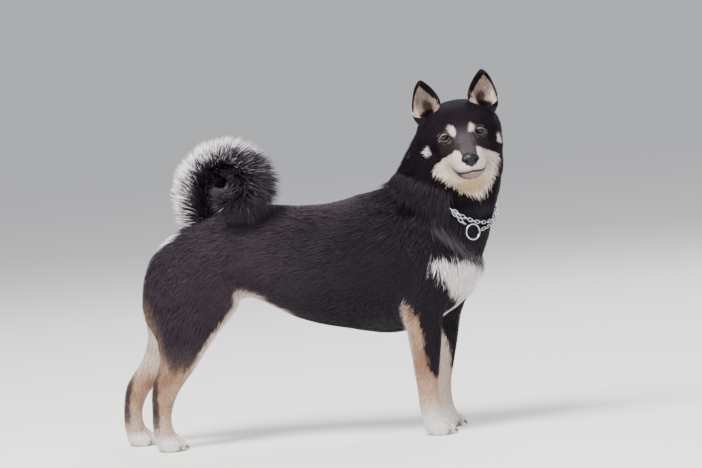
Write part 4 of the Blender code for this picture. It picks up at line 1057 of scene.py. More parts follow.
eye_gap = np.full(len(in_face), 2.0)
for side in (-1, 1):
    eye_gap = np.minimum(eye_gap, over_eye(in_face, side))
NOSE_PLACE = (0.0620, 0.0, -0.0280)
nose_gap = np.linalg.norm((in_face - np.array(NOSE_PLACE)) / np.array([0.0125, 0.0125, 0.0105]), axis=1)
bald = (eye_gap < 1.0) | (nose_gap < 1.0) | (bare.middles[:, 2] < 0.0015)
is_trunk, is_fore = ~(is_head | is_neck | is_leg), near_dog[:, 0] > 0.03
lip_line = np.array([spot for spot, _ in mouth_row(60)])
lip_gap = np.min(np.linalg.norm(bare.middles[:, None, :] - lip_line[None, ::2, :], axis=2), axis=1)
bald |= lip_gap < 0.0026
regions = {
    "coat_flank_right": ("trunk", is_trunk & (near_dog[:, 1] <= 0) & ~is_fore, 2, "coat_black"),
    "coat_flank_left": ("trunk", is_trunk & (near_dog[:, 1] > 0) & ~is_fore, 2, "coat_black"),
    "coat_shoulder_right": ("trunk", is_trunk & (near_dog[:, 1] <= 0) & is_fore, 2, "coat_black"),
    "coat_shoulder_left": ("trunk", is_trunk & (near_dog[:, 1] > 0) & is_fore, 2, "coat_black"),
    "coat_neck": ("neck", is_neck, 2, "coat_black"),
    "coat_head": ("head", is_head & (in_face[:, 0] < -0.024), 1, "coat_black"),
    "coat_face": ("head", is_head & (in_face[:, 0] >= -0.024), 1, "coat_black"),
    "coat_leg_front_right": ("leg", is_leg & (near_dog[:, 0] > 0) & (near_dog[:, 1] <= 0), 1, "coat_tan"),
    "coat_leg_front_left": ("leg", is_leg & (near_dog[:, 0] > 0) & (near_dog[:, 1] > 0), 1, "coat_tan"),
    "coat_leg_hind_right": ("leg", is_leg & (near_dog[:, 0] < 0) & (near_dog[:, 1] <= 0), 1, "coat_tan"),
    "coat_leg_hind_left": ("leg", is_leg & (near_dog[:, 0] < 0) & (near_dog[:, 1] > 0), 1, "coat_tan"),
}
short_finish = coat_finish("short_coat", 0.44, 0.050, 0.15)
velvet_finish = coat_finish("velvet_coat", 0.66, 0.0, 0.05)
for name, (kind, chosen, rings, slot) in regions.items():
    _, lengths, _ = coat_at(bare.middles)
    widths = 0.00050 + TUFT_SLIMNESS[kind] * lengths
    expected = bare.areas * TUFT_DENSITY[kind] / (0.5 * lengths * widths)
    expected = np.where(chosen & ~bald, expected, 0.0)
    roots, ups = bare.roots(expected, draw)
    ways, lengths, depths = coat_at(roots)
    count = len(roots)
    angles = draw.normal(0, 0.09, count) + 0.13 * ripples(roots, 0.028, 21) * (kind != "head")
    ways = turned(flattened(ways, ups), ups, angles)
    widths = (0.00050 + TUFT_SLIMNESS[kind] * lengths) * draw.uniform(0.75, 1.25, count)
    lengths = lengths * draw.uniform(0.75, 1.12, count)
    depths = depths * (draw.uniform(0.80, 1.0, count) + 0.08 * ripples(roots, 0.016, 22))
    if kind == "head":
        seen = in_frame(FACE, roots)
        depths *= 1 + 0.6 * inside(seen[:, 0] + 0.030, 0.02) * inside(0.045 - abs(seen[:, 1]), 0.012)
        for _ in range(8):
            for share in (0.5, 1.0):
                spots = in_frame(FACE, roots + ways * (lengths * share)[:, None])
                crossing = np.minimum(over_eye(spots, 1), over_eye(spots, -1)) < 0.97
                lengths = np.where(crossing, np.maximum(lengths * 0.8, 0.0012), lengths)
    paths, sides, tops = lay_tufts(ground, roots, ups, ways, lengths, depths, rings)
    shade = np.exp(draw.normal(0, 0.16, count))[:, None]
    seat = draw.uniform(0.35, 1.0, count)[:, None]
    colours = markings(roots * (1 - seat) + paths[-1] * seat) * shade
    tips = np.clip(colours * 1.12, 0, 0.95)
    seen = in_frame(FACE, roots) if kind == "head" else roots
    finish = velvet_finish if kind == "head" else short_finish
    tuft_piece(name, paths, sides, tops, widths, colours, tips, box_chart(seen, ups), finish)
    print(name, count, "tufts")


# The ears
# Small, thick, pricked ears that tip forward: a cup of gristle, black velvet outside and along the rim, and
# pale long hair across the hollow. Each grows from the top of the skull.
EAR = [  # up the ear: forward, inner edge (y, z), outer edge (y, z), half depth, hollow width share
    (-0.0440, 0.0240, 0.0300, 0.0520, 0.0060, 0.0150, 0.00),
    (-0.0425, 0.0210, 0.0470, 0.0635, 0.0215, 0.0145, 0.45),
    (-0.0405, 0.0232, 0.0570, 0.0668, 0.0350, 0.0130, 0.85),
    (-0.0385, 0.0275, 0.0665, 0.0665, 0.0490, 0.0110, 1.00),
    (-0.0365, 0.0335, 0.0755, 0.0635, 0.0620, 0.0090, 1.00),
    (-0.0350, 0.0390, 0.0820, 0.0603, 0.0725, 0.0070, 0.90),
    (-0.0342, 0.0430, 0.0862, 0.0570, 0.0795, 0.0048, 0.00),
    (-0.0338, 0.0468, 0.0890, 0.0520, 0.0866, 0.0024, 0.00),
]
EAR_WALL = 0.0036
EAR_HAIR = 0.0008
EAR_FORWARD = (Matrix.Rotation(math.radians(20.0), 4, "Z") @ X).to_3d()


def ear_rows(steps):
    """Middles, ways across, ways forward, half widths, half depths and hollows up the left ear."""
    found = []
    for x, iy, iz, oy, oz, deep, hollow in between_rows(EAR, steps):
        inner, outer = Vector((x, iy, iz)), Vector((x, oy, oz))
        across = (outer - inner).normalized()
        fore = (EAR_FORWARD - across * EAR_FORWARD.dot(across)).normalized()
        found.append(((inner + outer) / 2, across, fore, (outer - inner).length / 2, deep, hollow))
    return found


def ear_shape(side):
    """The ear's hide, hollowed to a cup."""
    outside, cup = [], []
    flip = Matrix.Diagonal((1, side, 1, 1))
    for middle, across, fore, wide, deep, hollow in ear_rows(4):
        outside.append([FACE @ flip @ p for p in ring(middle, across, fore, wide, deep, 2.0, 36)])
        if hollow > 0.2:
            reach = 0.012 + max(deep - EAR_WALL, 0.0005)
            narrow = math.sqrt(1 - (0.012 / reach) ** 2) if reach > 0.0125 else 0.4
            open_wide = max(wide - EAR_WALL * 0.85, 0.002) * min(hollow, 1.0) / narrow
            cup.append([FACE @ flip @ p for p in ring(middle + fore * 0.012, across, fore, min(open_wide, wide * 1.5), reach, 2.0, 36)])
    made = piece("ear_hide_left" if side > 0 else "ear_hide_right", *closed_tube(outside))
    cut_with(made, piece("cup", *closed_tube(cup)))
    one_surface(made, 0.0009)
    relax(made.data, 0.5, 5)
    move_to(made.data, places_of(made.data) - normals_of(made.data) * EAR_HAIR)
    return made


def ear_spots(points, side):
    """Places on an ear by height share, across and forward, and how far each lies inside the cup."""
    local = in_frame(FACE, points) * np.array([1, side, 1])
    rows = ear_rows(4)
    middles = np.array([r[0] for r in rows])
    axis = middles[-1] - middles[0]
    axis /= np.linalg.norm(axis)
    heights = (middles - middles[0]) @ axis
    high = (local - middles[0]) @ axis
    rest = local - np.stack([np.interp(high, heights, middles[:, k]) for k in range(3)], axis=1)
    across = np.stack([np.interp(high, heights, [r[1][k] for r in rows]) for k in range(3)], axis=1)
    fore = np.stack([np.interp(high, heights, [r[2][k] for r in rows]) for k in range(3)], axis=1)
    wide = np.interp(high, heights, [r[3] for r in rows])
    deep = np.interp(high, heights, [r[4] for r in rows])
    a, b = (rest * across).sum(1), (rest * fore).sum(1)
    off = np.sqrt((a / np.maximum(wide, 1e-5)) ** 2 + (b / np.maximum(deep, 1e-5)) ** 2)
    sunk = (1 - off) * np.where(abs(b) > abs(a) * 0.7, deep, np.minimum(wide, 2.5 * deep)) / np.maximum(off, 0.5)
    sunk = np.minimum(sunk, b + deep * np.sqrt(np.clip(1 - (a / np.maximum(wide, 1e-5)) ** 2, 0, 1)) - 0.0007)
    return high / heights[-1], a / np.maximum(wide, 1e-5), sunk, wide


def ear_colours(points, side):
    share, a, sunk, wide = ear_spots(points, side)
    rough = 0.0006 * ripples(points, 0.003, 31)
    rim = np.interp(a, [-1.0, -0.5, 0.4, 1.0], [0.0105, 0.0090, 0.0052, 0.0062]) * np.interp(share, [0.1, 0.55, 0.85], [0.80, 1.0, 1.8])
    within = inside(0.0012 - sunk + rough * 0.4, 0.0004) * inside(abs(a) * wide - wide + rim + rough, 0.0010)
    within = within * inside(0.22 - share, 0.03)
    pale = np.tile(np.array((0.33, 0.245, 0.20)), (len(points), 1)) * (1 + 0.25 * ripples(points, 0.004, 33))[:, None]
    pale = blend(pale, (0.66, 0.49, 0.38), inside(share - 0.30 - 0.15 * a, 0.10) * np.clip(0.6 + 0.5 * abs(a), 0, 1))
    # painted shade: the bottom of the hollow, where the ear canal opens, is painted dark
    ear_canal_shade = inside(np.hypot((a + 0.10) / 0.30, (share - 0.30) / 0.16) - 1 + 60 * rough, 0.40)
    pale = blend(pale, (0.055, 0.032, 0.024), ear_canal_shade * 0.92)
    dark = np.array(BLACK) * (1 + 0.2 * ripples(points, 0.006, 32))[:, None]
    return np.clip(dark + (pale - dark) * within[:, None], 0.004, 0.95), within, a, share


def ear_hide_finish():
    made, tree, shader = new_finish("ear_hide", 0.6)
    fine = noise_node(tree, in_place(tree), 900.0)
    tree.links.new(tinted(tree, stained(tree), ranged(tree, fine, 0.75, 1.2)), shader.inputs["Base Color"])
    shader.inputs["Specular IOR Level"].default_value = 0.12
    shader.inputs["Subsurface Weight"].default_value = 0.05
    shader.inputs["Subsurface Radius"].default_value = (0.004, 0.0015, 0.001)
    shader.inputs["Subsurface Scale"].default_value = 0.5
    bumped(tree, shader, fine, 0.4, 0.0005)
    return made


ear_finish = ear_hide_finish()
ear_coat = coat_finish("ear_coat", 0.58, 0.0, 0.10)
for name, side in SIDES.items():
    ear = ear_shape(side)
    colour_points(ear.data, ear_colours(places_of(ear.data), side)[0])
    ear.data.materials.clear()
    ear.data.materials.append(ear_finish)
    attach(ear, "root")
    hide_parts("ear_" + name)
    tree = BVHTree.FromPolygons(places_of(ear.data).tolist(), [tuple(f.vertices) for f in ear.data.polygons])
    shell = Skin(ear.data)
    tip = np.array(FACE @ Vector((-0.0338, side * 0.0494, 0.0885)))
    _, within, a, share = ear_colours(shell.middles, side)
    above = in_frame(FACE, shell.middles)[:, 2] > np.interp(share, [0.0, 0.2], [0.030, 0.022])
    expected = shell.areas / (0.5 * 0.0052 * 0.0008) * 3.2 * above
    expected = np.where(within > 0.5, expected * 0.6, expected)
    roots, ups = shell.roots(expected, draw)
    colours, within, a, share = ear_colours(roots, side)
    count = len(roots)
    ways = tip - roots
    ways /= np.linalg.norm(ways, axis=1, keepdims=True)
    axis = np.array(FACE.to_3x3() @ Vector((0.10, 0.10 * side, 1.0)).normalized())
    spread = np.array(FACE.to_3x3() @ (Matrix.Diagonal((1, side, 1)) @ Vector((0.0, 0.9, -0.35))))
    ways = ways * 0.4 + axis * 0.6
    ways = ways - spread * (np.clip(a, -1, 1) * within * 0.55)[:, None]
    ways = turned(flattened(ways, ups), ups, draw.normal(0, 0.13, count))
    lengths = (0.0052 + 0.0055 * within * inside(0.55 - abs(a), 0.2)) * draw.uniform(0.75, 1.15, count)
    depths = (0.0009 + 0.0022 * within * inside(0.5 - abs(a), 0.3)) * draw.uniform(0.7, 1.1, count)
    lengths *= np.interp(share, [0.85, 1.0], [1.0, 0.55])
    widths = (0.00050 + 0.045 * lengths) * draw.uniform(0.8, 1.2, count)
    paths, sides, tops = lay_tufts(tree, roots, ups, ways, lengths, depths, 1, 0.0004)
    colours = colours * np.exp(draw.normal(0, 0.16, count))[:, None]
    chart = box_chart(in_frame(FACE, roots), ups)
    tuft_piece("coat_ear_" + name, paths, sides, tops, widths, colours, np.clip(colours * 1.1, 0, 0.95), chart, ear_coat)
    print("ear", name, count)


# The tail and its plume
# A thick tail carried curled over the back. Its long straight hair stands off it like a bottle brush:
# white below, which the curl turns outward, and black on the sides and within the curl.
TAIL = [  # out along the tail: x, y, z, core radius, reach of the plume past the core
    (-0.1560, 0.0000, 0.3380, 0.0250, 0.012),
    (-0.1655, 0.0000, 0.3600, 0.0235, 0.018),
    (-0.1675, -0.0010, 0.3830, 0.0215, 0.022),
    (-0.1625, -0.0040, 0.4080, 0.0200, 0.023),
    (-0.1490, -0.0090, 0.4270, 0.0190, 0.022),
    (-0.1295, -0.0150, 0.4385, 0.0185, 0.021),
    (-0.1080, -0.0220, 0.4375, 0.0182, 0.025),
    (-0.0910, -0.0300, 0.4250, 0.0180, 0.031),
    (-0.0830, -0.0400, 0.4050, 0.0172, 0.036),
    (-0.0870, -0.0500, 0.3870, 0.0155, 0.030),
    (-0.1000, -0.0575, 0.3775, 0.0130, 0.016),
    (-0.1130, -0.0610, 0.3760, 0.0095, 0.012),
]
CURL_MIDDLE = Vector((-0.1230, -0.0250, 0.4060))
TAIL_FLESH = 0.62
PLUME_TUFTS = 15500
PLUME_SHARES = ([0, 34, 70, 110, 180], [1.0, 0.96, 0.84, 0.68, 0.56])


def tail_stations(steps):
    """Middle, ways along, outward and sideways, core radius and plume reach, out along the tail."""
    found = []
    rows = between_rows(TAIL, steps)
    spots = [Vector(r[:3]) for r in rows]
    for i, row in enumerate(rows):
        along = (spots[min(i + 1, len(rows) - 1)] - spots[max(i - 1, 0)]).normalized()
        outward = spots[i] - CURL_MIDDLE
        outward.y *= 0.15
        outward = (outward - along * outward.dot(along)).normalized()
        found.append((*(spots[i] + DOG_PLACE), *along, *outward, *along.cross(outward).normalized(), row[3], row[4]))
    return np.array(found)


stations = tail_stations(8)
rings = []
for row in stations[::2]:
    middle, outward, sideways = Vector(row[:3]), Vector(row[6:9]), Vector(row[9:12])
    size = row[12] * TAIL_FLESH
    rings.append(ring(middle, outward, sideways, size, size, 2.0, 20))
tail_hide = piece("tail_hide", *closed_tube(rings))
tail_colours = np.tile(np.array(BLACK) * 1.3, (len(tail_hide.data.vertices), 1))
colour_points(tail_hide.data, tail_colours)
tail_hide.data.materials.append(hide.data.materials[0])
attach(tail_hide, "root")

travel = np.concatenate([[0], np.cumsum(np.linalg.norm(np.diff(stations[:, :3], axis=0), axis=1))])
travel /= travel[-1]
order = np.arange(PLUME_TUFTS)
share = np.clip((order + draw.uniform(0, 1, PLUME_TUFTS)) / PLUME_TUFTS, 0, 1) ** 0.96
angle = (order * 137.508 + draw.uniform(-30, 30, PLUME_TUFTS)) % 360 - 180
keep = draw.uniform(0, 1, PLUME_TUFTS) < np.interp(abs(angle), [0, 60, 120, 180], [1.0, 1.0, 0.8, 0.55])
share, angle = share[keep], angle[keep]
count = len(share)
at = np.stack([np.interp(share, travel, stations[:, k]) for k in range(14)], axis=1)
middle, along, outward, sideways, core, reach = at[:, :3], at[:, 3:6], at[:, 6:9], at[:, 9:12], at[:, 12], at[:, 13]
turn = np.radians(angle)
c, s = np.cos(turn)[:, None], np.sin(turn)[:, None]
radial = outward * c + sideways * s
round_tail = outward * abs(s) - sideways * c * np.sign(s)
lean = np.interp(abs(angle), [0, 40, 90, 130, 180], [1.0, 0.75, 0.38, 0.45, 0.90])
wrap = np.interp(abs(angle), [0, 40, 90, 130, 180], [0.0, 0.45, 0.90, 0.30, 0.0])
clump = ripples(middle + radial * core[:, None], 0.012, 41)
ways = radial * lean[:, None] + round_tail * wrap[:, None] + along * (np.interp(share, [0, 0.88, 1.0], [0.30, 0.34, 0.80]) + 0.12 * clump)[:, None]
ways += draw.normal(0, 0.060, (count, 3))
ways /= np.linalg.norm(ways, axis=1, keepdims=True)
root_out = core * TAIL_FLESH * 0.92
envelope = (core + reach * np.interp(abs(angle), *PLUME_SHARES)) * draw.uniform(0.72, 1.09, count) * (1 + 0.05 * clump)
hollow = np.linalg.norm(middle - np.array(CURL_MIDDLE + DOG_PLACE), axis=1)
within = (abs(angle) > 110) & (share > 0.12)
envelope = np.where(within, np.clip(hollow * 0.98, envelope, 0.044) * draw.uniform(0.80, 1.08, count), envelope)
up_part = (ways * radial).sum(1)
side_part = ((ways * round_tail).sum(1)) ** 2
half_b = root_out * up_part
square = up_part**2 + side_part
lengths = (-half_b + np.sqrt(half_b**2 + square * np.maximum(envelope**2 - root_out**2, 1e-6))) / square
lengths = np.minimum(lengths, np.interp(share, [0.0, 0.8, 1.0], [0.060, 0.050, 0.032]) * draw.uniform(0.85, 1.1, count))
roots = middle + radial * root_out[:, None]
bend = (along * 0.10 - np.array([0, 0, 0.04])) * lengths[:, None]
stops = [0.0] + [place for place, _ in RING_PLACES[3]] + [1.0]
paths = [roots + ways * (lengths * t)[:, None] + bend * t**2 for t in stops]
sides = np.cross(ways, radial + along * 0.6)
sides /= np.linalg.norm(sides, axis=1, keepdims=True)
roll = draw.uniform(-0.9, 0.9, count)
tops = np.cross(sides, ways)
sides, tops = turned(sides, ways, roll), turned(tops, ways, roll)
limit = np.interp(share, [0.0, 0.10, 0.40, 0.50, 0.60, 0.68, 1.0], [74, 92, 96, 80, 46, 0.1, 0.1])
chance = np.interp(abs(angle) / limit + 0.15 * clump, [0.0, 0.6, 1.0, 1.35], [0.88, 0.84, 0.5, 0.0])
pale = (draw.uniform(0, 1, count) < chance * (abs(angle) < 108))[:, None]
black = np.array(BLACK) * (1.3 + 0.3 * clump)[:, None] * np.exp(draw.normal(0, 0.2, count))[:, None]
# painted sheen: the black hair is painted lighter towards the end of the curl
black = black * np.interp(share, [0.3, 0.6, 1.0], [1.0, 1.4, 1.5])[:, None]
white = np.array((0.93, 0.89, 0.91)) * np.clip(draw.normal(0.92, 0.22, count), 0.30, 1.05)[:, None]
frosted = (draw.uniform(0, 1, count) < np.interp(share, [0, 0.40, 0.55, 0.70, 1.0], [0.06, 0.14, 0.40, 0.10, 0.03]))[:, None]
frosted &= (abs(angle) < 120)[:, None]
crest = (abs(angle) < 40)[:, None]
root_colours = np.where(pale, np.where(crest, (0.16, 0.135, 0.145), (0.09, 0.075, 0.082)), black)
# the grey frosted tips are painted darker towards the end of the curl, a painted shade on its underside
frost_and_shade = np.array((0.33, 0.30, 0.33)) * np.interp(share, [0.5, 0.65, 0.85], [1.0, 0.75, 0.40])[:, None]
# the black hair's tips are painted lighter still, a painted sheen
tip_colours = np.where(pale, white, np.where(frosted, frost_and_shade, black * 1.5))
plume_finish = coat_finish("plume", 0.46, 0.02, 0.25)
widths = (0.00095 + 0.0005 * (abs(angle) > 80)) * draw.uniform(0.8, 1.25, count)
chart = np.stack([0.02 + 0.96 * share, 0.02 + 0.96 * (angle + 180) / 360], axis=1)
for name, node, chosen in (("plume_root", "tail_root", share < 0.46), ("plume_curl", "tail_curl", share >= 0.46)):
    made = tuft_piece(
        name,
        [p[chosen] for p in paths],
        [sides[chosen]] * 3,
        [tops[chosen]] * 3,
        widths[chosen],
        np.clip(root_colours[chosen], 0.004, 0.95),
        np.clip(tip_colours[chosen], 0.004, 0.95),
        chart[chosen],
        plume_finish,
        0.35,
        (0.35, 0.80),
    )
    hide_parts(node)
    print(name, chosen.sum())


# The eyes
# Small, dark, almond-shaped eyes set deep under the brows: a wet ball with a clear dome over a dark brown
# iris, in black lids that close round it, their skin painted lighter grey-violet as a painted highlight on the wet
# rims.
PUPIL, IRIS, RIM_OF_IRIS = 0.34, 0.78, 0.84


def eye_finish():
    made, tree, shader = new_finish("eye", 0.04)
    apart = tree.nodes.new("ShaderNodeSeparateXYZ")
    tree.links.new(in_place(tree), apart.inputs["Vector"])
    flat = tree.nodes.new("ShaderNodeCombineXYZ")
    tree.links.new(apart.outputs["Y"], flat.inputs["X"])
    tree.links.new(apart.outputs["Z"], flat.inputs["Y"])
    away = tree.nodes.new("ShaderNodeVectorMath")
    away.operation = "LENGTH"
    tree.links.new(flat.outputs["Vector"], away.inputs[0])
    reach = tree.nodes.new("ShaderNodeMapRange")
    reach.inputs["From Max"].default_value = EYEBALL
    tree.links.new(away.outputs["Value"], reach.inputs["Value"])
    rays = noise_node(tree, flat.outputs["Vector"], 900.0, 4.0)
    stirred = tree.nodes.new("ShaderNodeMath")
    stirred.operation = "ADD"
    tree.links.new(reach.outputs["Result"], stirred.inputs[0])
    tree.links.new(ranged(tree, rays, -0.05, 0.05), stirred.inputs[1])
    ramp = tree.nodes.new("ShaderNodeValToRGB")
    stops = ramp.color_ramp.elements
    stops[0].position, stops[0].color = PUPIL - 0.02, (0.002, 0.002, 0.002, 1)
    stops[1].position, stops[1].color = RIM_OF_IRIS + 0.06, (0.30, 0.21, 0.17, 1)
    for spot, colour in ((PUPIL + 0.04, (0.014, 0.006, 0.004, 1)), (IRIS - 0.16, (0.010, 0.005, 0.003, 1)), (RIM_OF_IRIS, (0.004, 0.003, 0.003, 1))):
        stops.new(spot).color = colour
    tree.links.new(stirred.outputs["Value"], ramp.inputs["Fac"])
    tree.links.new(ramp.outputs["Color"], shader.inputs["Base Color"])
    shader.inputs["Coat Weight"].default_value = 0.40
    shader.inputs["Coat Roughness"].default_value = 0.02
    shader.inputs["Specular IOR Level"].default_value = 0.15
    return made


def lid_finish():
    made, tree, shader = new_finish("lid", 0.32)
    fine = noise_node(tree, in_place(tree), 1100.0)
    base = tree.nodes.new("ShaderNodeValToRGB")
    # painted highlight: the lid skin runs from near black to a lighter grey-violet, so that the wet rims show as light
    # lines
    base.color_ramp.elements[0].color = (0.030, 0.024, 0.027, 1)
    base.color_ramp.elements[1].color = (0.130, 0.105, 0.120, 1)
    tree.links.new(fine, base.inputs["Fac"])
    tree.links.new(base.outputs["Color"], shader.inputs["Base Color"])
    shader.inputs["Coat Weight"].default_value = 0.3
    shader.inputs["Coat Roughness"].default_value = 0.15
    bumped(tree, shader, fine, 0.4, 0.0003)
    return made


eye_look, lid_look = eye_finish(), lid_finish()
gaze = Vector((math.sin(math.radians(8.0)), -math.cos(math.radians(8.0)), 0.03)).normalized()
for name, side in SIDES.items():
    points, faces = [], []
    steps, turns = [0, 6, 12, 18, 24, 30, 35, 40, 48, 58, 70, 85, 105, 130, 155, 180], 36
    for theta in steps[1:-1]:
        dome = 0.0009 * max(0.0, 1 - (theta / 38) ** 2) ** 1.2
        for k in range(turns):
            t, f = math.radians(theta), 2 * math.pi * k / turns
            r = EYEBALL + dome
            points.append(Vector((math.cos(t) * r, math.sin(t) * math.cos(f) * r, math.sin(t) * math.sin(f) * r)))
    count = len(steps) - 2
    faces = [
        (r * turns + k, r * turns + (k + 1) % turns, (r + 1) * turns + (k + 1) % turns, (r + 1) * turns + k)
        for r in range(count - 1)
        for k in range(turns)
    ]
    points += [Vector((EYEBALL + 0.0009, 0, 0)), Vector((-EYEBALL, 0, 0))]
    faces += [(len(points) - 2, (k + 1) % turns, k) for k in range(turns)]
    faces += [(len(points) - 1, (count - 1) * turns + k, (count - 1) * turns + (k + 1) % turns) for k in range(turns)]
    eye = piece("eyeball_" + name, points, faces)
    centre = eye_frame(side).to_translation()
    eye.matrix_world = Matrix.Translation(centre) @ gaze.to_track_quat("X", "Z").to_matrix().to_4x4()
    eye.data.materials.append(eye_look)
    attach(eye, "root")
    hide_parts("eye_" + name)

    rings = []
    for k in range(56):
        turn = 2 * math.pi * k / 56
        thick = 0.00075 + 0.00035 * max(0.0, math.sin(turn))
        one = []
        for j in range(10):
            f = 2 * math.pi * j / 10
            r = 0.01135 + 0.00085 * math.cos(f)
            wide, high = almond(turn, 1.02)
            stretch = 1 + thick * math.sin(f) / max(math.hypot(wide, high), 0.004)
            wide, high = wide * stretch, high * stretch
            one.append(opening_frame(side) @ Vector((math.sqrt(r * r - wide * wide - high * high), wide, high)))
        rings.append(one)
    lids = piece("lids_" + name, *closed_tube(rings, True))
    lids.data.materials.append(lid_look)
    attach(lids, "root")


# Nose and lips
# A damp black leather pad with comma-shaped nostrils and a crease down to the lip, and the black edge of
# the lips, closed in a faint smile.
NOSE_WIDTH, NOSE_HEIGHT, NOSE_DEPTH = 0.027, 0.0225, 0.020


def at_nose(x, y, z):
    return FACE @ Matrix.Translation((NOSE_PLACE[0] + x, NOSE_PLACE[1] + y, NOSE_PLACE[2] + z))


def leather_finish():
    made, tree, shader = new_finish("nose_leather", 0.30)
    cells = tree.nodes.new("ShaderNodeTexVoronoi")
    cells.inputs["Scale"].default_value = 1300.0
    tree.links.new(in_place(tree), cells.inputs["Vector"])
    patch = noise_node(tree, in_place(tree), 260.0)
    base = tree.nodes.new("ShaderNodeValToRGB")
    base.color_ramp.elements[0].color = (0.004, 0.0035, 0.0045, 1)
    base.color_ramp.elements[1].color = (0.013, 0.011, 0.014, 1)
    tree.links.new(patch, base.inputs["Fac"])
    tree.links.new(base.outputs["Color"], shader.inputs["Base Color"])
    tree.links.new(ranged(tree, patch, 0.30, 0.44), shader.inputs["Roughness"])
    shader.inputs["Specular IOR Level"].default_value = 0.20
    bumped(tree, shader, cells.outputs["Distance"], 0.4, 0.0003)
    return made


def lip_finish():
    made, tree, shader = new_finish("lip_edge", 0.40)
    fine = noise_node(tree, in_place(tree), 900.0)
    base = tree.nodes.new("ShaderNodeValToRGB")
    base.color_ramp.elements[0].color = (0.004, 0.003, 0.003, 1)
    base.color_ramp.elements[1].color = (0.030, 0.020, 0.021, 1)
    tree.links.new(fine, base.inputs["Fac"])
    tree.links.new(base.outputs["Color"], shader.inputs["Base Color"])
    shader.inputs["Specular IOR Level"].default_value = 0.2
    bumped(tree, shader, fine, 0.4, 0.0003)
    return made


mounds = [ball(at_nose(0, 0, 0), (NOSE_DEPTH * 0.5, NOSE_WIDTH * 0.40, NOSE_HEIGHT * 0.46), 32, 20)]
mounds.append(ball(at_nose(-0.0015, 0, NOSE_HEIGHT * 0.20), (NOSE_DEPTH * 0.46, NOSE_WIDTH * 0.45, NOSE_HEIGHT * 0.28), 32, 20))
mounds.append(ball(at_nose(-0.0005, 0, -NOSE_HEIGHT * 0.26), (NOSE_DEPTH * 0.44, NOSE_WIDTH * 0.22, NOSE_HEIGHT * 0.25), 32, 20))
for side in (-1, 1):
    mounds.append(ball(at_nose(-0.0015, side * 0.0079, 0.0002), (0.0090, 0.0062, 0.0078), 32, 20))
nose = gathered("nose_pad", mounds)
one_surface(nose, 0.0005)
relax(nose.data, 0.5, 8)
for side in (-1, 1):
    cut_with(nose, piece("nostril", *ball(at_nose(0.0085, side * 0.0072, -0.0008), (0.0060, 0.0025, 0.0029), 24, 16)))
    slit = at_nose(0.0052, side * 0.0108, -0.0034) @ Matrix.Rotation(side * 0.6, 4, "X")
    cut_with(nose, piece("slit", *ball(slit, (0.0060, 0.0040, 0.0010), 24, 16)))
cut_with(nose, piece("crease", *ball(at_nose(0.0103, 0, -0.0052), (0.0022, 0.0005, 0.0075), 16, 12)))
one_surface(nose, 0.00045)
relax(nose.data, 0.4, 3)
nose.data.materials.clear()
nose.data.materials.append(leather_finish())
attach(nose, "root")
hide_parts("nose")

rings = []
row = mouth_row(60)
for k, (spot, way) in enumerate(row):
    share = min(1.0, 0.25 + 0.14 * min(k, 60 - k))
    rings.append(ring(spot - way * 0.0001, way, up_face, 0.0022 * share, 0.0019 * share, 2.0, 10))
rings.reverse()
lips = piece("lips", *closed_tube(rings))
lips.data.materials.append(lip_finish())
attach(lips, "root")


# The claws
# Four short, strong claws to a foot, grey-brown horn, curving down from between the hairs of each toe.
def claw_finish():
    made, tree, shader = new_finish("claw_horn", 0.38)
    stripe = noise_node(tree, in_place(tree), 420.0)
    base = tree.nodes.new("ShaderNodeValToRGB")
    base.color_ramp.elements[0].color = (0.060, 0.045, 0.038, 1)
    base.color_ramp.elements[1].color = (0.200, 0.150, 0.120, 1)
    tree.links.new(stripe, base.inputs["Fac"])
    tree.links.new(base.outputs["Color"], shader.inputs["Base Color"])
    bumped(tree, shader, stripe, 0.3, 0.0003)
    return made


claw_bodies = []
for kind, (x, y) in PAW_SPOTS.items():
    for side in (-1, 1):
        for aside, ahead in TOES:
            rings = []
            foot = Vector((x + float(STEPS[kind](side, 0.0)) + ahead + TOE_SIZE[0], side * y + aside, 0)) + DOG_PLACE
            for t in (0.0, 0.25, 0.5, 0.7, 0.85, 0.95, 1.0):
                middle = foot + Vector((-0.0052 + 0.0070 * t, 0, 0.0082 - 0.0058 * t * t))
                size = 0.0017 * (1 - t) ** 0.6 + 0.0003
                rings.append(ring(middle, Y, (Z + X * t * 1.1).normalized(), size * 0.85, size * 1.25, 2.0, 12))
            claw_bodies.append(closed_tube(rings))
claws = gathered("claws", claw_bodies)
claws.data.materials.append(claw_finish())
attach(claws, "root")


# The chain collar
# A slip chain of bright round-wire links lying in the ruff, doubled under the throat, where both strands
# meet in a welded ring. Every link is threaded through its neighbours at a quarter turn.
LINK_LENGTH, LINK_WIDTH, WIRE = 0.0104, 0.0066, 0.00085
LINK_PITCH = LINK_LENGTH - 4 * WIRE
THROAT_TURN, RING_TURN = math.radians(-24.0), math.radians(-16.0)
COLLAR_TURNS = (0, 16, 32, 45, 70, 100, 180)
COLLAR_HEIGHTS = (0.3205, 0.3236, 0.3328, 0.3440, 0.3580, 0.3720, 0.3900)
CHAIN_LIFT, CHAIN_SINK, SINK_TURNS = 0.0034, 0.0060, (46, 66)
RING_RADIUS, RING_WIRE = 0.0117, 0.00135


def collar_height(turn):
    away = abs((turn + math.pi) % (2 * math.pi) - math.pi)
    return float(np.interp(away, np.radians(COLLAR_TURNS), COLLAR_HEIGHTS))


def on_neck(turn, drop, lift):
    """A place over the solid neck at an angle from the throat, and the way out from it."""
    height = collar_height(turn) - drop
    table = np.array(NECK)
    middle = (np.interp(height, table[:, 0], table[:, 1]) + np.interp(height, table[:, 0], table[:, 2])) / 2
    middle = Vector((middle, -0.002, height)) + DOG_PLACE
    way = Vector((math.cos(turn + THROAT_TURN), math.sin(turn + THROAT_TURN), 0))
    spot, out, _, _ = neck_tree.ray_cast(middle + way * 0.25, -way)
    return spot + out * lift, out


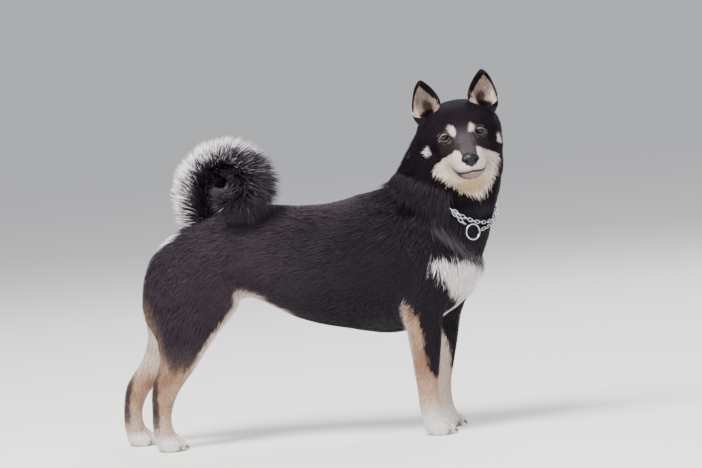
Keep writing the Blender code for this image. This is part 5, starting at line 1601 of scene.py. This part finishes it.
def evenly(row, pitch, closed):
    row = row + row[:1] if closed else row
    table = np.array([[*p, *n] for p, n in row])
    run = np.concatenate([[0], np.cumsum(np.linalg.norm(np.diff(table[:, :3], axis=0), axis=1))])
    count = max(2, round(run[-1] / pitch))
    count += count % 2 if closed else 0
    wanted = np.linspace(0, run[-1], count + 1)[: count if closed else count + 1]
    found = np.stack([np.interp(wanted, run, table[:, k]) for k in range(6)], axis=1)
    return [(Vector(f[:3]), Vector(f[3:]).normalized()) for f in found]


def links_along(row, closed):
    bodies = []
    count = len(row)
    for i in range(count if closed else count - 1):
        here, out = row[i]
        there = row[(i + 1) % count][0]
        along = (there - here).normalized()
        out = (out - along * out.dot(along)).normalized()
        across = along.cross(out)
        tilt = math.radians((12 if i % 2 else 102) + draw.uniform(-9, 9))
        flat = across * math.cos(tilt) + out * math.sin(tilt)
        normal = along.cross(flat)
        straight, bend = (LINK_LENGTH - LINK_WIDTH) / 2, LINK_WIDTH / 2 - WIRE
        rings = []
        for k in range(22):
            turn = 2 * math.pi * (k + 0.5) / 22
            c, s = math.cos(turn), math.sin(turn)
            spot = (here + there) / 2 + along * (c * bend + math.copysign(straight, c)) + flat * (s * bend)
            rings.append(ring(spot, along * c + flat * s, normal, WIRE, WIRE, 2.0, 8))
        bodies.append(closed_tube(rings, True))
    return bodies


def steel_finish():
    made, tree, shader = new_finish("bright_steel", 0.22)
    scuff = noise_node(tree, in_place(tree), 700.0, 4.0)
    base = tree.nodes.new("ShaderNodeValToRGB")
    base.color_ramp.elements[0].color = (0.30, 0.30, 0.32, 1)
    base.color_ramp.elements[1].color = (0.66, 0.66, 0.68, 1)
    tree.links.new(scuff, base.inputs["Fac"])
    tree.links.new(base.outputs["Color"], shader.inputs["Base Color"])
    tree.links.new(ranged(tree, scuff, 0.14, 0.34), shader.inputs["Roughness"])
    shader.inputs["Metallic"].default_value = 1.0
    bumped(tree, shader, scuff, 0.15, 0.0002)
    return made


neck_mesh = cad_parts["neck"].data
neck_tree = BVHTree.FromPolygons([v.co for v in neck_mesh.vertices], [tuple(f.vertices) for f in neck_mesh.polygons])
steel = steel_finish()
whole_round = []
for k in range(160):
    away = 360 * min(k, 160 - k) / 160
    whole_round.append(on_neck(2 * math.pi * k / 160, 0.0, CHAIN_LIFT - float(np.interp(away, SINK_TURNS, (0, CHAIN_SINK)))))
link_bodies = links_along(evenly(whole_round, LINK_PITCH, True), True)
for start, end, drop in ((-49, -25.5, 0.0085), (27, -7, 0.0120)):
    strand = []
    for k in range(13):
        t = k / 12
        strand.append(on_neck(math.radians(start + (end - start) * t), drop * t**0.8, CHAIN_LIFT))
    link_bodies += links_along(evenly(strand, LINK_PITCH, False), False)
chain = gathered("chain", link_bodies)
chain.data.materials.append(steel)
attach(chain, "root")
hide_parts("collar_chain")

middle, _ = on_neck(RING_TURN, 0.0145, 0.0070)
normal = (FACE.to_3x3() @ Vector((0.90, 0.42, 0.10))).normalized()
across = Z.cross(normal).normalized()
upward = normal.cross(across)
rings = []
for k in range(64):
    turn = 2 * math.pi * k / 64
    way = across * math.cos(turn) + upward * math.sin(turn)
    rings.append(ring(middle + way * RING_RADIUS, way, normal, RING_WIRE, RING_WIRE, 2.0, 14))
collar_ring = piece("throat_ring", *closed_tube(rings, True))
collar_ring.data.materials.append(steel)
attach(collar_ring, "root")
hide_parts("collar_ring")


# The ruff
# Long hair of the neck that closes over the chain at the sides and behind, so that it shows under the throat
# only, and the raised edge of the ruff that runs from the shoulder down to the chest.
RUFF_EDGE = ((0.205, 0.325), (0.262, 0.262))


def ruff_piece(name, expected, way, length, depth, rise, tip_colour, tip_share):
    roots, ups = bare.roots(expected, draw)
    count = len(roots)
    ways = coat_at(roots)[0] + np.array(way)
    ways = turned(flattened(ways, ups), ups, draw.normal(0, 0.10, count))
    lengths = length * draw.uniform(0.80, 1.15, count)
    paths, sides, tops = lay_tufts(ground, roots, ups, ways, lengths, depth * draw.uniform(0.80, 1.05, count), 2, rise=rise)
    colours = markings(roots) * np.exp(draw.normal(0, 0.2, count))[:, None]
    tips = blend(colours, tip_colour, tip_share * draw.uniform(0.4, 1.0, count))
    widths = 0.0010 * draw.uniform(0.75, 1.25, count)
    return tuft_piece(name, paths, sides, tops, widths, colours, tips, box_chart(roots, ups), short_finish)


x, y, z = near_dog.T
back = np.interp(z, [r[0] for r in NECK], [r[1] for r in NECK])
front = np.interp(z, [r[0] for r in NECK], [r[2] for r in NECK])
turn = np.arctan2(y + 0.002, x - (back + front) / 2) - THROAT_TURN
turn = abs((turn + math.pi) % (2 * math.pi) - math.pi)
above = z - np.interp(turn, np.radians(COLLAR_TURNS), COLLAR_HEIGHTS)
hidden = inside(math.radians(50) - turn, 0.06) * (above > 0.001) * (above < 0.027) * (x > 0.08)
hidden = hidden * (markings(bare.middles).mean(1) < 0.05)
ruff_piece("ruff_over_chain", bare.areas * hidden / (0.046 * 0.0012) * 13.0, (0, 0, -0.2), 0.038, 0.0158, (0.78, 1.0, 0.78), (0.016, 0.012, 0.016), 0.3)
run = np.array(RUFF_EDGE[1]) - np.array(RUFF_EDGE[0])
share = np.clip(((x - RUFF_EDGE[0][0]) * run[0] + (z - RUFF_EDGE[0][1]) * run[1]) / (run @ run), 0, 1)
off = np.hypot(x - RUFF_EDGE[0][0] - run[0] * share, z - RUFF_EDGE[0][1] - run[1] * share)
edge = inside(off - 0.005, 0.003) * (abs(y) > 0.012)
# the edge's tufts get lighter violet tips, partly a painted sheen where the raised edge catches the light
ruff_piece("ruff_edge", bare.areas * edge / (0.030 * 0.0014) * 5.0, (0.7, 0, -0.3), 0.030, 0.0145, (0.75, 1.0, 0.92), (0.095, 0.078, 0.095), 0.75)


# Floor, light and camera
# A wide pale floor under soft daylight, seen from the photo's place: low, from the dog's right side.
floor = piece("floor", [(-14, -14, 0), (14, -14, 0), (14, 14, 0), (-14, 14, 0)], [(0, 1, 2, 3)])
floor.data.materials.append(new_finish("floor", 0.9)[0])
floor.data.materials[0].node_tree.nodes["Principled BSDF"].inputs["Base Color"].default_value = (0.72, 0.71, 0.69, 1)

world = bpy.data.worlds.new("daylight")
bpy.context.scene.world = world
world.use_nodes = True
world.node_tree.nodes["Background"].inputs["Color"].default_value = (0.90, 0.93, 1.0, 1)
world.node_tree.nodes["Background"].inputs["Strength"].default_value = 0.74
seen = world.node_tree.nodes.new("ShaderNodeBackground")
seen.inputs["Color"].default_value = (0.522, 0.532, 0.553, 1)
either = world.node_tree.nodes.new("ShaderNodeMixShader")
path = world.node_tree.nodes.new("ShaderNodeLightPath")
world.node_tree.links.new(path.outputs["Is Camera Ray"], either.inputs["Fac"])
world.node_tree.links.new(world.node_tree.nodes["Background"].outputs["Background"], either.inputs[1])
world.node_tree.links.new(seen.outputs["Background"], either.inputs[2])
world.node_tree.links.new(either.outputs["Shader"], world.node_tree.nodes["World Output"].inputs["Surface"])


def soft_light(name, place, size, power, colour):
    lamp = bpy.data.lights.new(name, "AREA")
    lamp.shape = "DISK"
    lamp.size = size
    lamp.energy = power
    lamp.color = colour
    made = bpy.data.objects.new(name, lamp)
    made.location = place
    made.rotation_mode = "QUATERNION"
    made.rotation_quaternion = (Vector((0, 0, 0.25)) - Vector(place)).to_track_quat("-Z", "Y")
    made.visible_camera = False
    bpy.context.scene.collection.objects.link(made)


soft_light("key", (-1.0, -2.1, 3.7), 2.2, 560, (1.0, 0.98, 0.95))
soft_light("fill", (2.6, -2.6, 1.6), 2.4, 55, (0.95, 0.97, 1.0))
soft_light("rim", (0.6, 2.6, 2.8), 2.0, 110, (0.95, 0.96, 1.0))

CAMERA_TARGET = Vector((0.0731, 0.0200, 0.314))
azimuth, elevation, roll = math.radians(8), math.radians(3), math.radians(-4.5)
back = Vector((math.sin(azimuth) * math.cos(elevation), -math.cos(azimuth) * math.cos(elevation), math.sin(elevation)))
right = Vector((math.cos(azimuth), math.sin(azimuth), 0))
upward = back.cross(right)
across = right * math.cos(roll) + upward * math.sin(roll)
upward = upward * math.cos(roll) - right * math.sin(roll)
lens = bpy.data.cameras.new("camera")
lens.sensor_width = 36
lens.lens = 18 / math.tan(math.radians(11.3) / 2)
camera = bpy.data.objects.new("camera", lens)
camera.matrix_world = Matrix((across, upward, back)).transposed().to_4x4()
camera.location = CAMERA_TARGET + back * 5.5
lens.clip_start, lens.clip_end = 0.1, 60
bpy.context.scene.collection.objects.link(camera)
bpy.context.scene.camera = camera
